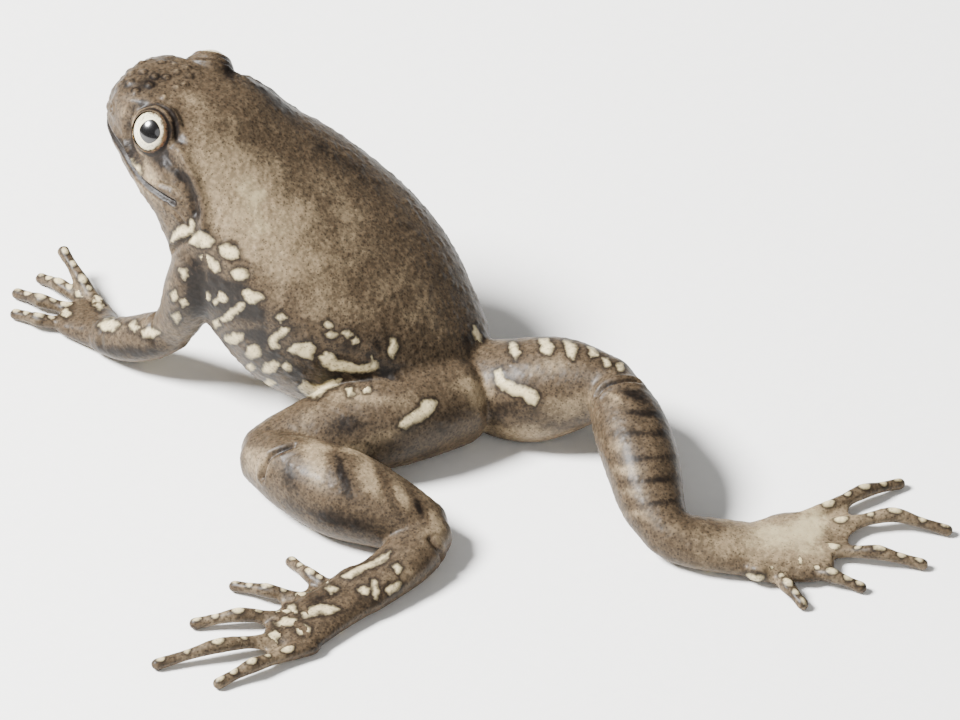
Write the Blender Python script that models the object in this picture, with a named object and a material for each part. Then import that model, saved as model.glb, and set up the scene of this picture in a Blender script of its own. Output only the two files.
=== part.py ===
"""A small ground frog at life size, crawling with its head raised, built from lofted rings."""
import math

import bmesh
import bpy
import numpy as np
from mathutils import Matrix, Vector

for old in list(bpy.data.objects):
    bpy.data.objects.remove(old, do_unlink=True)

MM = 0.001

# Main sizes in millimetres.
BODY_LENGTH = 35.0
NODE_GAP = 0.3
EYE_RADIUS = 1.7
EYE_GAP = 0.12
LID_THICKNESS = 0.32
EYE_OPENING = 1.5
EYE_CENTRE = (4.2, -24.9, 21.3)
EYE_FORWARD_DEG = 14.0
EYE_RISE_DEG = 28.0
MOUTH_GROOVE = 0.2
MOUTH_SHARE = (0.0, 0.3, 0.48, 0.58, 0.65, 0.75, 1.0)
MOUTH_HEIGHT = (19.3, 19.3, 19.05, 18.65, 18.38, 18.15, 17.95)
MOUTH_HINGE = (0.0, -21.5)
SETTLE = 0.08
NOSTRIL_RADIUS = 0.3
NOSTRIL = (2.75, -29.4, 21.0)
DIGIT_RADIUS = 0.56

# Share of the whole range at which the neck cut lies, and how fine the body rings are.
NECK_STATION = 8.0
BODY_SIDES = 28
LIMB_SIDES = 14
DIGIT_SIDES = 8

# Body stations from the vent to the snout: back, up, half width, height above and depth below.
BODY = (
    (1.6, 2.3, 1.0, 0.9, 1.0),
    (0.6, 3.0, 2.4, 1.7, 2.7),
    (-1.8, 4.3, 4.4, 2.6, 5.0),
    (-4.8, 6.1, 6.6, 3.6, 7.2),
    (-8.0, 8.2, 8.5, 4.25, 9.3),
    (-11.5, 10.4, 9.4, 4.55, 10.1),
    (-15.0, 12.6, 9.3, 4.6, 9.1),
    (-18.0, 14.8, 8.6, 4.4, 7.3),
    (-20.5, 16.6, 7.9, 4.3, 5.6),
    (-22.6, 18.0, 7.3, 4.3, 4.3),
    (-25.0, 18.8, 6.2, 4.2, 3.4),
    (-27.2, 19.2, 4.9, 4.05, 2.7),
    (-28.8, 19.4, 3.7, 3.7, 2.15),
    (-29.8, 19.5, 2.6, 3.0, 1.7),
    (-30.4, 19.6, 1.5, 1.9, 1.1),
)

# Limb stations: left, back, up, half width, half height.
UPPER_ARM = {
    "left": ((6.5, -19.5, 13.0, 2.2, 2.2), (6.9, -20.2, 10.2, 2.0, 2.0),
             (6.5, -21.5, 7.3, 1.75, 1.75), (5.8, -22.8, 4.9, 1.55, 1.55)),
    "right": ((-6.4, -18.2, 12.6, 2.0, 2.0), (-7.8, -17.4, 10.2, 2.0, 2.0),
              (-9.3, -16.0, 7.8, 1.8, 1.8), (-10.2, -14.8, 5.8, 1.6, 1.6)),
}
FOREARM = {
    "left": ((5.8, -22.8, 4.7, 1.6, 1.6), (5.65, -24.6, 3.4, 1.85, 1.75),
             (5.4, -26.8, 2.2, 1.75, 1.65), (4.85, -28.9, 1.45, 1.55, 1.35)),
    "right": ((-10.2, -14.6, 5.6, 1.65, 1.65), (-10.6, -16.4, 4.3, 1.85, 1.75),
              (-10.6, -18.6, 2.8, 1.65, 1.6), (-10.3, -20.4, 1.7, 1.45, 1.35)),
}
HAND = {
    "left": ((4.75, -28.9, 1.4, 1.45, 1.2), (4.0, -30.3, 1.1, 1.9, 1.05),
             (3.25, -31.7, 0.9, 2.35, 0.9), (2.8, -32.7, 0.75, 2.1, 0.7)),
    "right": ((-10.2, -20.5, 1.5, 1.35, 1.2), (-10.2, -21.9, 1.1, 1.8, 1.05),
              (-10.3, -23.3, 0.9, 2.3, 0.9), (-10.4, -24.3, 0.75, 2.1, 0.7)),
}
FINGERS = {
    "left": (((1.6, -31.2, 1.1), (0.15, -33.5, 1.65), (-1.5, -36.0, 2.75)),
             ((1.2, -32.8, 0.8), (0.4, -35.2, 0.9), (-0.3, -37.3, 0.5)),
             ((2.5, -33.2, 0.75), (2.75, -35.55, 0.9), (2.2, -38.0, 0.5)),
             ((4.2, -32.4, 0.75), (4.85, -34.6, 0.85), (4.55, -36.9, 0.5))),
    "right": (((-8.9, -23.1, 0.8), (-7.9, -24.7, 0.9), (-6.9, -26.4, 0.5)),
              ((-9.5, -24.5, 0.8), (-9.0, -26.5, 0.9), (-8.5, -28.6, 0.5)),
              ((-10.6, -24.8, 0.75), (-10.7, -27.3, 0.95), (-10.9, -29.8, 0.5)),
              ((-11.9, -24.0, 0.75), (-12.7, -25.9, 0.9), (-13.4, -27.8, 0.5))),
}
THIGH = {
    "left": ((2.6, -1.2, 3.5, 3.6, 3.5), (6.4, -3.9, 3.6, 3.9, 3.6),
             (10.1, -7.2, 3.2, 3.5, 3.1), (12.6, -9.6, 2.8, 2.7, 2.6), (14.0, -10.7, 2.6, 2.15, 2.25)),
    "right": ((-1.2, -1.7, 3.0, 3.2, 3.0), (-0.9, 1.9, 3.4, 3.8, 3.5),
              (-1.6, 5.4, 4.3, 3.65, 3.5), (-1.75, 8.5, 5.2, 2.75, 2.7), (-1.8, 10.1, 5.7, 2.15, 2.15)),
}
SHANK = {
    "left": ((14.4, -10.5, 2.7, 2.1, 2.2), (15.5, -7.2, 3.1, 2.85, 2.85),
             (16.0, -3.2, 3.15, 3.3, 3.1), (16.0, 0.7, 2.6, 2.95, 2.55), (15.8, 3.6, 2.0, 2.2, 2.0)),
    "right": ((-1.6, 10.3, 5.6, 2.0, 2.0), (1.1, 13.0, 5.15, 2.7, 2.7),
              (4.0, 15.7, 4.2, 2.75, 2.7), (6.7, 18.15, 2.9, 2.2, 2.1), (8.3, 20.1, 2.0, 1.75, 1.75)),
}
TARSUS = {
    "left": ((16.1, 3.9, 1.9, 2.1, 1.8), (19.2, 3.95, 1.6, 2.2, 1.6),
             (22.0, 3.25, 1.3, 2.15, 1.3), (24.4, 2.35, 1.05, 2.2, 1.05)),
    "right": ((8.2, 20.5, 1.9, 1.9, 1.8), (7.5, 22.3, 1.6, 2.45, 1.6),
              (6.6, 24.2, 1.3, 2.8, 1.3), (5.8, 25.8, 1.05, 3.0, 1.05)),
}
FOOT = {
    "left": ((24.2, 2.35, 1.05, 2.15, 1.0), (26.4, 1.4, 0.95, 2.3, 0.95),
             (28.9, 0.6, 0.85, 2.4, 0.85), (31.5, 0.25, 0.7, 2.2, 0.65)),
    "right": ((5.9, 25.7, 1.05, 3.0, 1.0), (4.9, 27.2, 0.95, 3.75, 0.95),
              (3.7, 28.6, 0.85, 4.2, 0.85), (2.6, 30.1, 0.7, 3.6, 0.65)),
}
TOES = {
    "left": (((24.4, 0.4, 0.8), (23.7, -1.8, 0.9), (22.2, -4.3, 0.5)),
             ((26.3, -0.7, 0.8), (26.8, -3.75, 0.95), (26.85, -6.65, 0.5)),
             ((28.8, -0.9, 0.8), (30.5, -4.2, 1.05), (32.3, -7.1, 0.5)),
             ((31.2, -0.2, 0.8), (34.6, -3.7, 1.15), (38.0, -7.25, 0.5)),
             ((32.4, 1.2, 0.8), (35.4, -0.5, 0.95), (38.0, -2.1, 0.5))),
    "right": (((7.4, 28.2, 0.8), (8.5, 30.0, 0.9), (9.5, 31.9, 0.5)),
              ((6.0, 29.6, 0.8), (5.9, 32.3, 0.95), (5.6, 34.8, 0.5)),
              ((3.1, 30.6, 0.8), (1.95, 34.2, 1.05), (0.95, 37.55, 0.5)),
              ((0.1, 29.6, 0.8), (-2.6, 33.2, 1.15), (-3.6, 37.3, 0.5)),
              ((-1.1, 28.1, 0.8), (-4.4, 29.8, 0.95), (-7.2, 31.5, 0.5))),
}

# The cushion at the base of the first toe and the knob beside it: place, radius and stretch.
TOE_CUSHIONS = {
    "left": (((24.5, 0.9, 0.85), 1.0, (1.3, 1.2, 0.8)),),
    "right": (((7.2, 27.2, 1.0), 1.0, (1.7, 2.0, 0.85)), ((8.3, 27.5, 1.45), 0.7, (0.9, 1.3, 0.8))),
}

COLOURS = {
    "skin_back": (0.135, 0.115, 0.09),
    "skin_limb": (0.15, 0.125, 0.095),
    "skin_digit": (0.22, 0.19, 0.15),
    "eye": (0.45, 0.38, 0.2),
}
ROUGHNESS = {"skin_back": 0.55, "skin_limb": 0.55, "skin_digit": 0.55, "eye": 0.12}


# Grown copies of the nodes as they were before any cut, used as cutters.
UNCUT = {}


def material(kind, name):
    """One plain finish for one node."""
    mat = bpy.data.materials.new(name + "_finish")
    mat.use_nodes = True
    shader = mat.node_tree.nodes["Principled BSDF"]
    shader.inputs["Base Color"].default_value = (*COLOURS[kind], 1.0)
    shader.inputs["Roughness"].default_value = ROUGHNESS[kind]
    shader.inputs["Metallic"].default_value = 0.0
    mat.diffuse_color = (*COLOURS[kind], 1.0)
    return mat


def spline(stations, place):
    """The value at one place along a row of stations, joined by a smooth curve."""
    last = len(stations) - 1
    index = min(int(place), last - 1)
    share = place - index
    rows = [np.array(stations[min(max(index + step, 0), last)], float) for step in (-1, 0, 1, 2)]
    slope_in = (rows[2] - rows[0]) / 2
    slope_out = (rows[3] - rows[1]) / 2
    square = share * share
    cube = square * share
    return ((2 * cube - 3 * square + 1) * rows[1] + (cube - 2 * square + share) * slope_in
            + (3 * square - 2 * cube) * rows[2] + (cube - square) * slope_out)


def ring_point(angle, half_width, above, below, square):
    """One point of a rounded section, wider than a plain oval where square is over two."""
    across = math.cos(angle)
    rise = math.sin(angle)
    power = 2.0 / square
    side = math.copysign(abs(across) ** power, across) * half_width
    height = math.copysign(abs(rise) ** power, rise) * (above if rise >= 0 else below)
    return side, height


def loft(name, stations, start, stop, rings, sides, square=2.2, cap_start=1.0, cap_end=1.0, cap_rings=2):
    """A closed body of rings along a curve; a cap of nought closes it with a flat end."""
    mesh = bpy.data.meshes.new(name)
    bm = bmesh.new()
    places = [start + (stop - start) * i / (rings - 1) for i in range(rings)]
    frames = []
    for place in places:
        row = spline(stations, place)
        ahead = spline(stations, min(place + 0.02, len(stations) - 1))[:3]
        behind = spline(stations, max(place - 0.02, 0))[:3]
        tangent = Vector(ahead - behind).normalized()
        side = tangent.cross(Vector((0, 0, 1)))
        if side.length < 0.2:
            side = tangent.cross(Vector((0, 1, 0)))
        side.normalize()
        frames.append((Vector(row[:3]), tangent, side, side.cross(tangent), row[3], row[4], row[5]))
    if isinstance(square, tuple):
        squares = [square[0] + (square[1] - square[0]) * i / (rings - 1) for i in range(rings)]
    else:
        squares = [square] * rings
    rows = []

    def add_ring(frame, shrink, shift, power):
        centre, tangent, side, up, half_width, above, below = frame
        verts = []
        for step in range(sides):
            across, height = ring_point(2 * math.pi * step / sides, half_width * shrink,
                                        above * shrink, below * shrink, power)
            verts.append(bm.verts.new((centre + tangent * shift + side * across + up * height) * MM))
        rows.append(verts)

    def cap_list(frame, length, sign):
        reach = length * min(frame[4], frame[5], frame[6])
        steps = [math.pi / 2 * (i + 1) / (cap_rings + 1) for i in range(cap_rings)]
        return [(math.cos(turn), sign * reach * math.sin(turn)) for turn in steps], sign * reach

    first = last = None
    if cap_start > 0:
        rim, reach = cap_list(frames[0], cap_start, -1.0)
        for shrink, shift in reversed(rim):
            add_ring(frames[0], shrink, shift, squares[0])
        first = bm.verts.new((frames[0][0] + frames[0][1] * reach) * MM)
    for frame, power in zip(frames, squares):
        add_ring(frame, 1.0, 0.0, power)
    if cap_end > 0:
        rim, reach = cap_list(frames[-1], cap_end, 1.0)
        for shrink, shift in rim:
            add_ring(frames[-1], shrink, shift, squares[-1])
        last = bm.verts.new((frames[-1][0] + frames[-1][1] * reach) * MM)
    for low, high in zip(rows, rows[1:]):
        for step in range(sides):
            after = (step + 1) % sides
            bm.faces.new((low[step], low[after], high[after], high[step]))
    for pole, row in ((first, rows[0]), (last, rows[-1])):
        if pole is None:
            bm.faces.new(row)
            continue
        for step in range(sides):
            bm.faces.new((pole, row[step], row[(step + 1) % sides]))
    bmesh.ops.recalc_face_normals(bm, faces=bm.faces)
    bm.to_mesh(mesh)
    bm.free()
    obj = bpy.data.objects.new(name, mesh)
    bpy.context.scene.collection.objects.link(obj)
    return obj


def body_rows():
    """The body table as loft stations on the middle plane."""
    return [(0.0, back, up, wide, above, below) for back, up, wide, above, below in BODY]


def limb_rows(table):
    """A limb table as loft stations with one height above and below."""
    return [(x, y, z, wide, high, high) for x, y, z, wide, high in table]


def remove(obj):
    bpy.data.objects.remove(obj, do_unlink=True)


def bake(obj):
    """The object's modifiers made real."""
    bpy.context.view_layer.update()
    graph = bpy.context.evaluated_depsgraph_get()
    mesh = bpy.data.meshes.new_from_object(obj.evaluated_get(graph))
    obj.modifiers.clear()
    obj.data = mesh


def boolean(obj, tool, operation, keep_tool=False, solver="EXACT"):
    """Join or cut with another closed mesh."""
    mod = obj.modifiers.new("Join or cut", "BOOLEAN")
    mod.operation = operation
    mod.solver = solver
    mod.object = tool
    bake(obj)
    if not keep_tool:
        remove(tool)


def inflate(obj, amount):
    """A copy of a node grown outward by a small amount."""
    copy = obj.copy()
    copy.data = obj.data.copy()
    bpy.context.scene.collection.objects.link(copy)
    bm = bmesh.new()
    bm.from_mesh(copy.data)
    bmesh.ops.triangulate(bm, faces=bm.faces)
    bm.normal_update()
    moves = [(vert, vert.normal.copy()) for vert in bm.verts]
    for vert, normal in moves:
        vert.co += normal * amount * MM
    bm.to_mesh(copy.data)
    bm.free()
    return copy


def largest(obj):
    """Only the largest closed surface of a node is kept."""
    bm = bmesh.new()
    bm.from_mesh(obj.data)
    bmesh.ops.remove_doubles(bm, verts=bm.verts, dist=0.0000005)
    bm.verts.index_update()
    bm.verts.ensure_lookup_table()
    seen = set()
    groups = []
    for vert in bm.verts:
        if vert.index in seen:
            continue
        stack = [vert]
        seen.add(vert.index)
        group = []
        while stack:
            here = stack.pop()
            group.append(here)
            for edge in here.link_edges:
                other = edge.other_vert(here)
                if other.index not in seen:
                    seen.add(other.index)
                    stack.append(other)
        groups.append(group)
    groups.sort(key=len, reverse=True)
    for group in groups[1:]:
        bmesh.ops.delete(bm, geom=group, context="VERTS")
    bm.to_mesh(obj.data)
    bm.free()


def part_from(child, parents):
    """The child is cut back so that it meets each parent face to face."""
    UNCUT[child.name] = inflate(child, NODE_GAP)
    for parent in parents:
        boolean(child, UNCUT[parent], "DIFFERENCE", keep_tool=True, solver="MANIFOLD")
    largest(child)


def trim_floor(obj):
    """Anything under the floor is cut away, which leaves the small flats."""
    bm = bmesh.new()
    bm.from_mesh(obj.data)
    low = min(vert.co.z for vert in bm.verts)
    if low < SETTLE * MM:
        result = bmesh.ops.bisect_plane(bm, geom=bm.verts[:] + bm.edges[:] + bm.faces[:], dist=0.000001,
                                        plane_co=(0, 0, SETTLE * MM), plane_no=(0, 0, -1), clear_outer=True)
        edges = [item for item in result["geom_cut"] if isinstance(item, bmesh.types.BMEdge)]
        bmesh.ops.edgenet_fill(bm, edges=edges)
        bmesh.ops.recalc_face_normals(bm, faces=bm.faces)
        bm.to_mesh(obj.data)
    bm.free()


def ball(name, centre, radius, segments, rings, scale=(1, 1, 1), turn=None):
    """A closed ball, stretched and turned where wanted."""
    mesh = bpy.data.meshes.new(name)
    bm = bmesh.new()
    bmesh.ops.create_uvsphere(bm, u_segments=segments, v_segments=rings, radius=radius * MM)
    matrix = Matrix.Translation(Vector(centre) * MM)
    if turn is not None:
        matrix = matrix @ turn
    bmesh.ops.transform(bm, matrix=matrix @ Matrix.Diagonal((*scale, 1)), verts=bm.verts)
    bm.to_mesh(mesh)
    bm.free()
    obj = bpy.data.objects.new(name, mesh)
    bpy.context.scene.collection.objects.link(obj)
    return obj


def rod(name, points, radius, sides=6):
    """A closed round bar along a line of points, for grooves."""
    rows = [(*point, radius, radius, radius) for point in points]
    return loft(name, rows, 0, len(rows) - 1, 2 * len(rows), sides, 2.0, 0.8, 0.8, 1)


def eye_axis(side):
    """The way one eye looks."""
    forward = math.radians(EYE_FORWARD_DEG)
    rise = math.radians(EYE_RISE_DEG)
    flat = math.cos(rise)
    return Vector((side * flat * math.cos(forward), -flat * math.sin(forward), math.sin(rise)))


def turn_to(direction):
    """The turn that takes the upright axis to a direction."""
    return direction.to_track_quat("Z", "Y").to_matrix().to_4x4()


def soften(obj, voxel, rounds, faces):
    """Joined flesh is flowed into one skin, smoothed and thinned to a face budget."""
    mod = obj.modifiers.new("Flow together", "REMESH")
    mod.mode = "VOXEL"
    mod.voxel_size = voxel * MM
    mod = obj.modifiers.new("Smooth", "SMOOTH")
    mod.factor = 0.5
    mod.iterations = rounds
    bake(obj)
    mod = obj.modifiers.new("Thin out", "DECIMATE")
    triangles = sum(len(face.vertices) - 2 for face in obj.data.polygons)
    mod.ratio = min(1.0, faces / triangles)
    bake(obj)
    largest(obj)


def middle(objects):
    """The middle of the whole animal on the floor."""
    low = Vector((9, 9, 9))
    high = -low
    for obj in objects:
        for vert in obj.data.vertices:
            low = Vector(map(min, low, vert.co))
            high = Vector(map(max, high, vert.co))
    return Vector(((low.x + high.x) / 2, (low.y + high.y) / 2, SETTLE * MM))


def finish(obj, kind, origin):
    """Finish, shading and an exact place for a node."""
    obj.data.materials.clear()
    obj.data.materials.append(material(kind, obj.name))
    centre = sum((vert.co for vert in obj.data.vertices), Vector()) / len(obj.data.vertices)
    obj.data.transform(Matrix.Translation(-centre))
    obj.location = centre - origin
    for face in obj.data.polygons:
        face.use_smooth = True
    obj.data.update()


def make_torso():
    """Trunk from the vent to the neck."""
    torso = loft("torso", body_rows(), 0, NECK_STATION, 24, BODY_SIDES, 2.25, 0.6, 0)
    UNCUT["torso"] = inflate(torso, NODE_GAP)
    trim_floor(torso)
    return torso


def mouth_line(head):
    """Points of the mouth line on the skin, from one corner round the snout to the other."""
    points = []
    for step in range(-6, 7):
        turn = math.radians(15.5 * step)
        share = abs(step) / 6
        height = float(np.interp(share, MOUTH_SHARE, MOUTH_HEIGHT))
        outward = Vector((math.sin(turn) * 0.9, -math.cos(turn), 0)).normalized()
        start = Vector((MOUTH_HINGE[0], MOUTH_HINGE[1], height)) + outward * 20
        hit, place, normal, face = head.ray_cast(start * MM, -outward)
        if hit:
            points.append(tuple(place / MM + normal * 0.02))
    return points


def make_head():
    """Head with lid bulges, sockets, mouth line and nostrils."""
    head = loft("head", body_rows(), NECK_STATION + 0.1, len(BODY) - 1, 22, 36, (2.25, 2.7), 0, 0.4, 2)
    for side in (-1, 1):
        centre = (side * EYE_CENTRE[0], EYE_CENTRE[1], EYE_CENTRE[2])
        bulge = ball("lid_bulge", centre, EYE_RADIUS + EYE_GAP + LID_THICKNESS, 24, 16)
        boolean(head, bulge, "UNION")
    soften(head, 0.22, 4, 1700)
    UNCUT["head"] = inflate(head, NODE_GAP)
    line = mouth_line(head)
    cut_neck = bpy.data.objects.new("neck_cut", box_mesh())
    bpy.context.scene.collection.objects.link(cut_neck)
    row = spline(body_rows(), NECK_STATION)
    ahead = Vector(spline(body_rows(), NECK_STATION + 0.02)[:3])
    behind = Vector(spline(body_rows(), NECK_STATION - 0.02)[:3])
    direction = (ahead - behind).normalized()
    place = Vector(row[:3]) + direction * (NODE_GAP - 10)
    cut_neck.matrix_world = Matrix.Translation(place * MM) @ turn_to(direction)
    boolean(head, cut_neck, "DIFFERENCE", solver="MANIFOLD")
    for side in (-1, 1):
        centre = Vector((side * EYE_CENTRE[0], EYE_CENTRE[1], EYE_CENTRE[2]))
        socket = ball("socket", centre, EYE_RADIUS + EYE_GAP, 20, 12, turn=turn_to(eye_axis(side)))
        boolean(head, socket, "DIFFERENCE", solver="MANIFOLD")
        opening = cone("opening", centre + eye_axis(side) * 0.5, eye_axis(side), EYE_OPENING, EYE_OPENING * 1.25, 4.0)
        boolean(head, opening, "DIFFERENCE", solver="MANIFOLD")
        place = (side * NOSTRIL[0], NOSTRIL[1], NOSTRIL[2])
        nostril = ball("nostril", place, NOSTRIL_RADIUS, 10, 8, (1, 1.3, 1))
        boolean(head, nostril, "DIFFERENCE", solver="MANIFOLD")
    groove = rod("mouth_groove", line, MOUTH_GROOVE)
    boolean(head, groove, "DIFFERENCE", solver="MANIFOLD")
    largest(head)
    return head


def box_mesh():
    """A large plain block centred on its own origin."""
    mesh = bpy.data.meshes.new("block")
    bm = bmesh.new()
    bmesh.ops.create_cube(bm, size=20 * MM)
    bm.to_mesh(mesh)
    bm.free()
    return mesh


def cone(name, base, direction, radius_base, radius_end, length):
    """A closed round cutter from a base point outward."""
    mesh = bpy.data.meshes.new(name)
    bm = bmesh.new()
    bmesh.ops.create_cone(bm, cap_ends=True, segments=20, radius1=radius_base * MM,
                          radius2=radius_end * MM, depth=length * MM)
    move = Matrix.Translation((Vector(base) + direction * length / 2) * MM) @ turn_to(direction)
    bmesh.ops.transform(bm, matrix=move, verts=bm.verts)
    bm.to_mesh(mesh)
    bm.free()
    obj = bpy.data.objects.new(name, mesh)
    bpy.context.scene.collection.objects.link(obj)
    return obj


def digit_rows(points):
    """Stations of a slim digit with swollen joints and a rounded tip."""
    base, middle, tip = (Vector(point) for point in points)
    tip -= (tip - middle).normalized() * DIGIT_RADIUS * 0.5
    shape = ((0.0, 1.05), (0.25, 0.92), (0.5, 1.1), (0.75, 0.9), (1.0, 1.02))
    rows = []
    for share, swell in shape:
        place = base.lerp(middle, share * 2) if share <= 0.5 else middle.lerp(tip, share * 2 - 1)
        arch = math.sin(math.pi * share) * 0.08
        radius = DIGIT_RADIUS * swell
        rows.append((place.x, place.y, place.z + arch, radius * 1.08, radius, radius))
    return rows


def limb(name, table, rings, sides, parents, square=2.1, caps=(0.8, 0.8), extras=()):
    """A limb part lofted along its stations and cut back from what it grows from."""
    rows = limb_rows(table)
    obj = loft(name, rows, 0, len(rows) - 1, rings, sides, square, caps[0], caps[1])
    for place, radius, stretch in extras:
        boolean(obj, ball("cushion", place, radius, 12, 8, stretch), "UNION", solver="MANIFOLD")
    part_from(obj, parents)
    trim_floor(obj)
    return obj


def build():
    """Every node of the frog in its pose."""
    nodes = []
    torso = make_torso()
    head = make_head()
    nodes += [(torso, "skin_back"), (head, "skin_back")]
    for side, label in ((1, "left"), (-1, "right")):
        centre = (side * EYE_CENTRE[0], EYE_CENTRE[1], EYE_CENTRE[2])
        eye = ball("eye_" + label, centre, EYE_RADIUS, 20, 12, turn=turn_to(eye_axis(side)))
        nodes.append((eye, "eye"))
    for label in ("left", "right"):
        upper = limb("upper_arm_" + label, UPPER_ARM[label], 8, LIMB_SIDES, ["torso", "head"])
        fore = limb("forearm_" + label, FOREARM[label], 8, LIMB_SIDES, ["torso", "upper_arm_" + label])
        hand = limb("hand_" + label, HAND[label], 7, LIMB_SIDES, ["forearm_" + label], 2.3)
        nodes += [(upper, "skin_limb"), (fore, "skin_limb"), (hand, "skin_limb")]
        made = []
        for number, points in enumerate(FINGERS[label]):
            rows = digit_rows(points)
            digit = loft(f"finger_{number + 1}_{label}", rows, 0, len(rows) - 1, 9, DIGIT_SIDES, 2.0)
            part_from(digit, ["hand_" + label] + made)
            trim_floor(digit)
            made.append(digit.name)
            nodes.append((digit, "skin_digit"))
        hips = ["torso"] if label == "left" else ["torso", "thigh_left"]
        thigh = limb("thigh_" + label, THIGH[label], 11, 18, hips)
        shank = limb("shank_" + label, SHANK[label], 10, 16, ["thigh_" + label, "torso"])
        tarsus = limb("tarsus_" + label, TARSUS[label], 7, LIMB_SIDES, ["shank_" + label])
        foot = limb("foot_" + label, FOOT[label], 7, LIMB_SIDES, ["tarsus_" + label], 2.3,
                    extras=TOE_CUSHIONS[label])
        nodes += [(thigh, "skin_limb"), (shank, "skin_limb"), (tarsus, "skin_limb"), (foot, "skin_limb")]
        made = []
        for number, points in enumerate(TOES[label]):
            rows = digit_rows(points)
            digit = loft(f"toe_{number + 1}_{label}", rows, 0, len(rows) - 1, 9, DIGIT_SIDES, 2.0)
            part_from(digit, ["foot_" + label] + made)
            trim_floor(digit)
            made.append(digit.name)
            nodes.append((digit, "skin_digit"))
    for cutter in UNCUT.values():
        remove(cutter)
    origin = middle([obj for obj, kind in nodes])
    for obj, kind in nodes:
        finish(obj, kind, origin)


build()
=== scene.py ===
"""A small ground frog, life size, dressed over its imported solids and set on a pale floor."""

import math

import bmesh
import bpy
import numpy as np
from bpy.props import FloatProperty, FloatVectorProperty, IntProperty, PointerProperty
from mathutils import Matrix, Vector
from mathutils.bvhtree import BVHTree
from mathutils.kdtree import KDTree


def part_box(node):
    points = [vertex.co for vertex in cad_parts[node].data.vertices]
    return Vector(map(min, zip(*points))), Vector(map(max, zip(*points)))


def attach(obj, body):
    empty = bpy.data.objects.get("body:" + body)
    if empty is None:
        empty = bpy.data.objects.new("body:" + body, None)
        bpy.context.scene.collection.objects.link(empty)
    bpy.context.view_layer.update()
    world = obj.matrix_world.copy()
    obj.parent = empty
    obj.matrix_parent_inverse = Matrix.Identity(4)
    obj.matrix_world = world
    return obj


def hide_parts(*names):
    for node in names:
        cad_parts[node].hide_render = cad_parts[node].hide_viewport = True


bl_info = {
    "name": "Ground frog",
    "version": (1, 0, 0),
    "blender": (4, 5, 0),
    "location": "3D View > Sidebar > Frog",
    "description": "Dresses the packed frog with its skin and eyes and sets the stage",
    "category": "Add Mesh",
}

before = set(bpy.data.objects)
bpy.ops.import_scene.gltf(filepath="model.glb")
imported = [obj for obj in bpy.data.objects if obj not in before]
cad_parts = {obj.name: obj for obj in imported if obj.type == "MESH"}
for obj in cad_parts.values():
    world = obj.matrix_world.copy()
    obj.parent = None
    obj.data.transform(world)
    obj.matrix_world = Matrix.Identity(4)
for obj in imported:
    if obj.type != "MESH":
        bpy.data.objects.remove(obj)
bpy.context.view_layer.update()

MM = 0.001
# One step of the drawing's own grid, in millimetres on the animal, and the grid's middle and width in steps.
STEP = 0.0745
GRID_MIDDLE = (480.0, 423.1)
GRID_WIDTH = 960.0
VIEW_MIDDLE_DOWN = 360.0
# The viewing direction: its turn from the animal's left towards its back, and its rise.
VIEW_TURN = math.radians(27.44)
VIEW_RISE = math.radians(36.73)
TOWARD = (math.cos(VIEW_TURN) * math.cos(VIEW_RISE), math.sin(VIEW_TURN) * math.cos(VIEW_RISE),
          math.sin(VIEW_RISE))
RIGHTWARD = (-math.sin(VIEW_TURN), math.cos(VIEW_TURN), 0.0)
UPWARD = (-math.cos(VIEW_TURN) * math.sin(VIEW_RISE), -math.sin(VIEW_TURN) * math.sin(VIEW_RISE),
          math.cos(VIEW_RISE))

# The eyeballs and their lids: places from the vent's spot on the floor, in millimetres and degrees.
EYE_RADIUS = 1.7
EYE_CENTRE = (4.2, -24.9, 21.3)
EYE_FORWARD_DEG = 14.0
EYE_RISE_DEG = 28.0
GAZE_FORWARD_DEG = -5.0
GAZE_RISE_DEG = 33.0
# Half the pupil's width and height as shares of the eyeball's radius, and how round its corners are.
PUPIL_HALF = (0.49, 0.53)
PUPIL_ROUNDNESS = 1.7
# Any point this far out of the pupil or iris is plain eyeball.
FAR_OFF = 3.0
SOCKET_ROOM = 0.03
LID_RADIUS = 2.14
LID_OPENING = 1.58
LID_MARGIN_DEG = 66.5
LID_REACH = 3.0
# Rings round a lid: degrees outside its margin, width in degrees, and rise or lightness; the darker tone
# rings are painted shade at the margin and in the groove beyond it, the lighter one the lid's pale rim.
LID_RINGS = ((7, 4, 0.06), (17, 4, -0.09), (27, 5, 0.06))
LID_RING_TONES = ((8, 5, 0.3), (0, 4, -1.0), (19, 5, -0.7))

# The floor's height in these tables' own millimetres, where the skin rests flat.
SETTLE = 0.08
DIGIT_RADIUS = 0.56

# Body stations from the vent to the snout: back, up, half width, height above and depth below.
BODY = (
    (1.6, 2.3, 1.0, 0.9, 1.0),
    (0.6, 3.0, 2.4, 1.7, 2.7),
    (-1.8, 4.3, 4.4, 2.6, 5.0),
    (-4.8, 6.1, 6.6, 3.6, 7.2),
    (-8.0, 8.2, 8.5, 4.25, 9.3),
    (-11.5, 10.4, 9.4, 4.55, 10.1),
    (-15.0, 12.6, 9.3, 4.6, 9.1),
    (-18.0, 14.8, 8.6, 4.4, 7.3),
    (-20.5, 16.6, 7.9, 4.3, 5.6),
    (-22.6, 18.0, 7.3, 4.3, 4.3),
    (-25.0, 18.8, 6.2, 4.2, 3.4),
    (-27.2, 19.2, 4.9, 4.05, 2.7),
    (-28.8, 19.4, 3.7, 3.7, 2.15),
    (-29.8, 19.5, 2.6, 3.0, 1.7),
    (-30.4, 19.6, 1.5, 1.9, 1.1),
)

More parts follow.
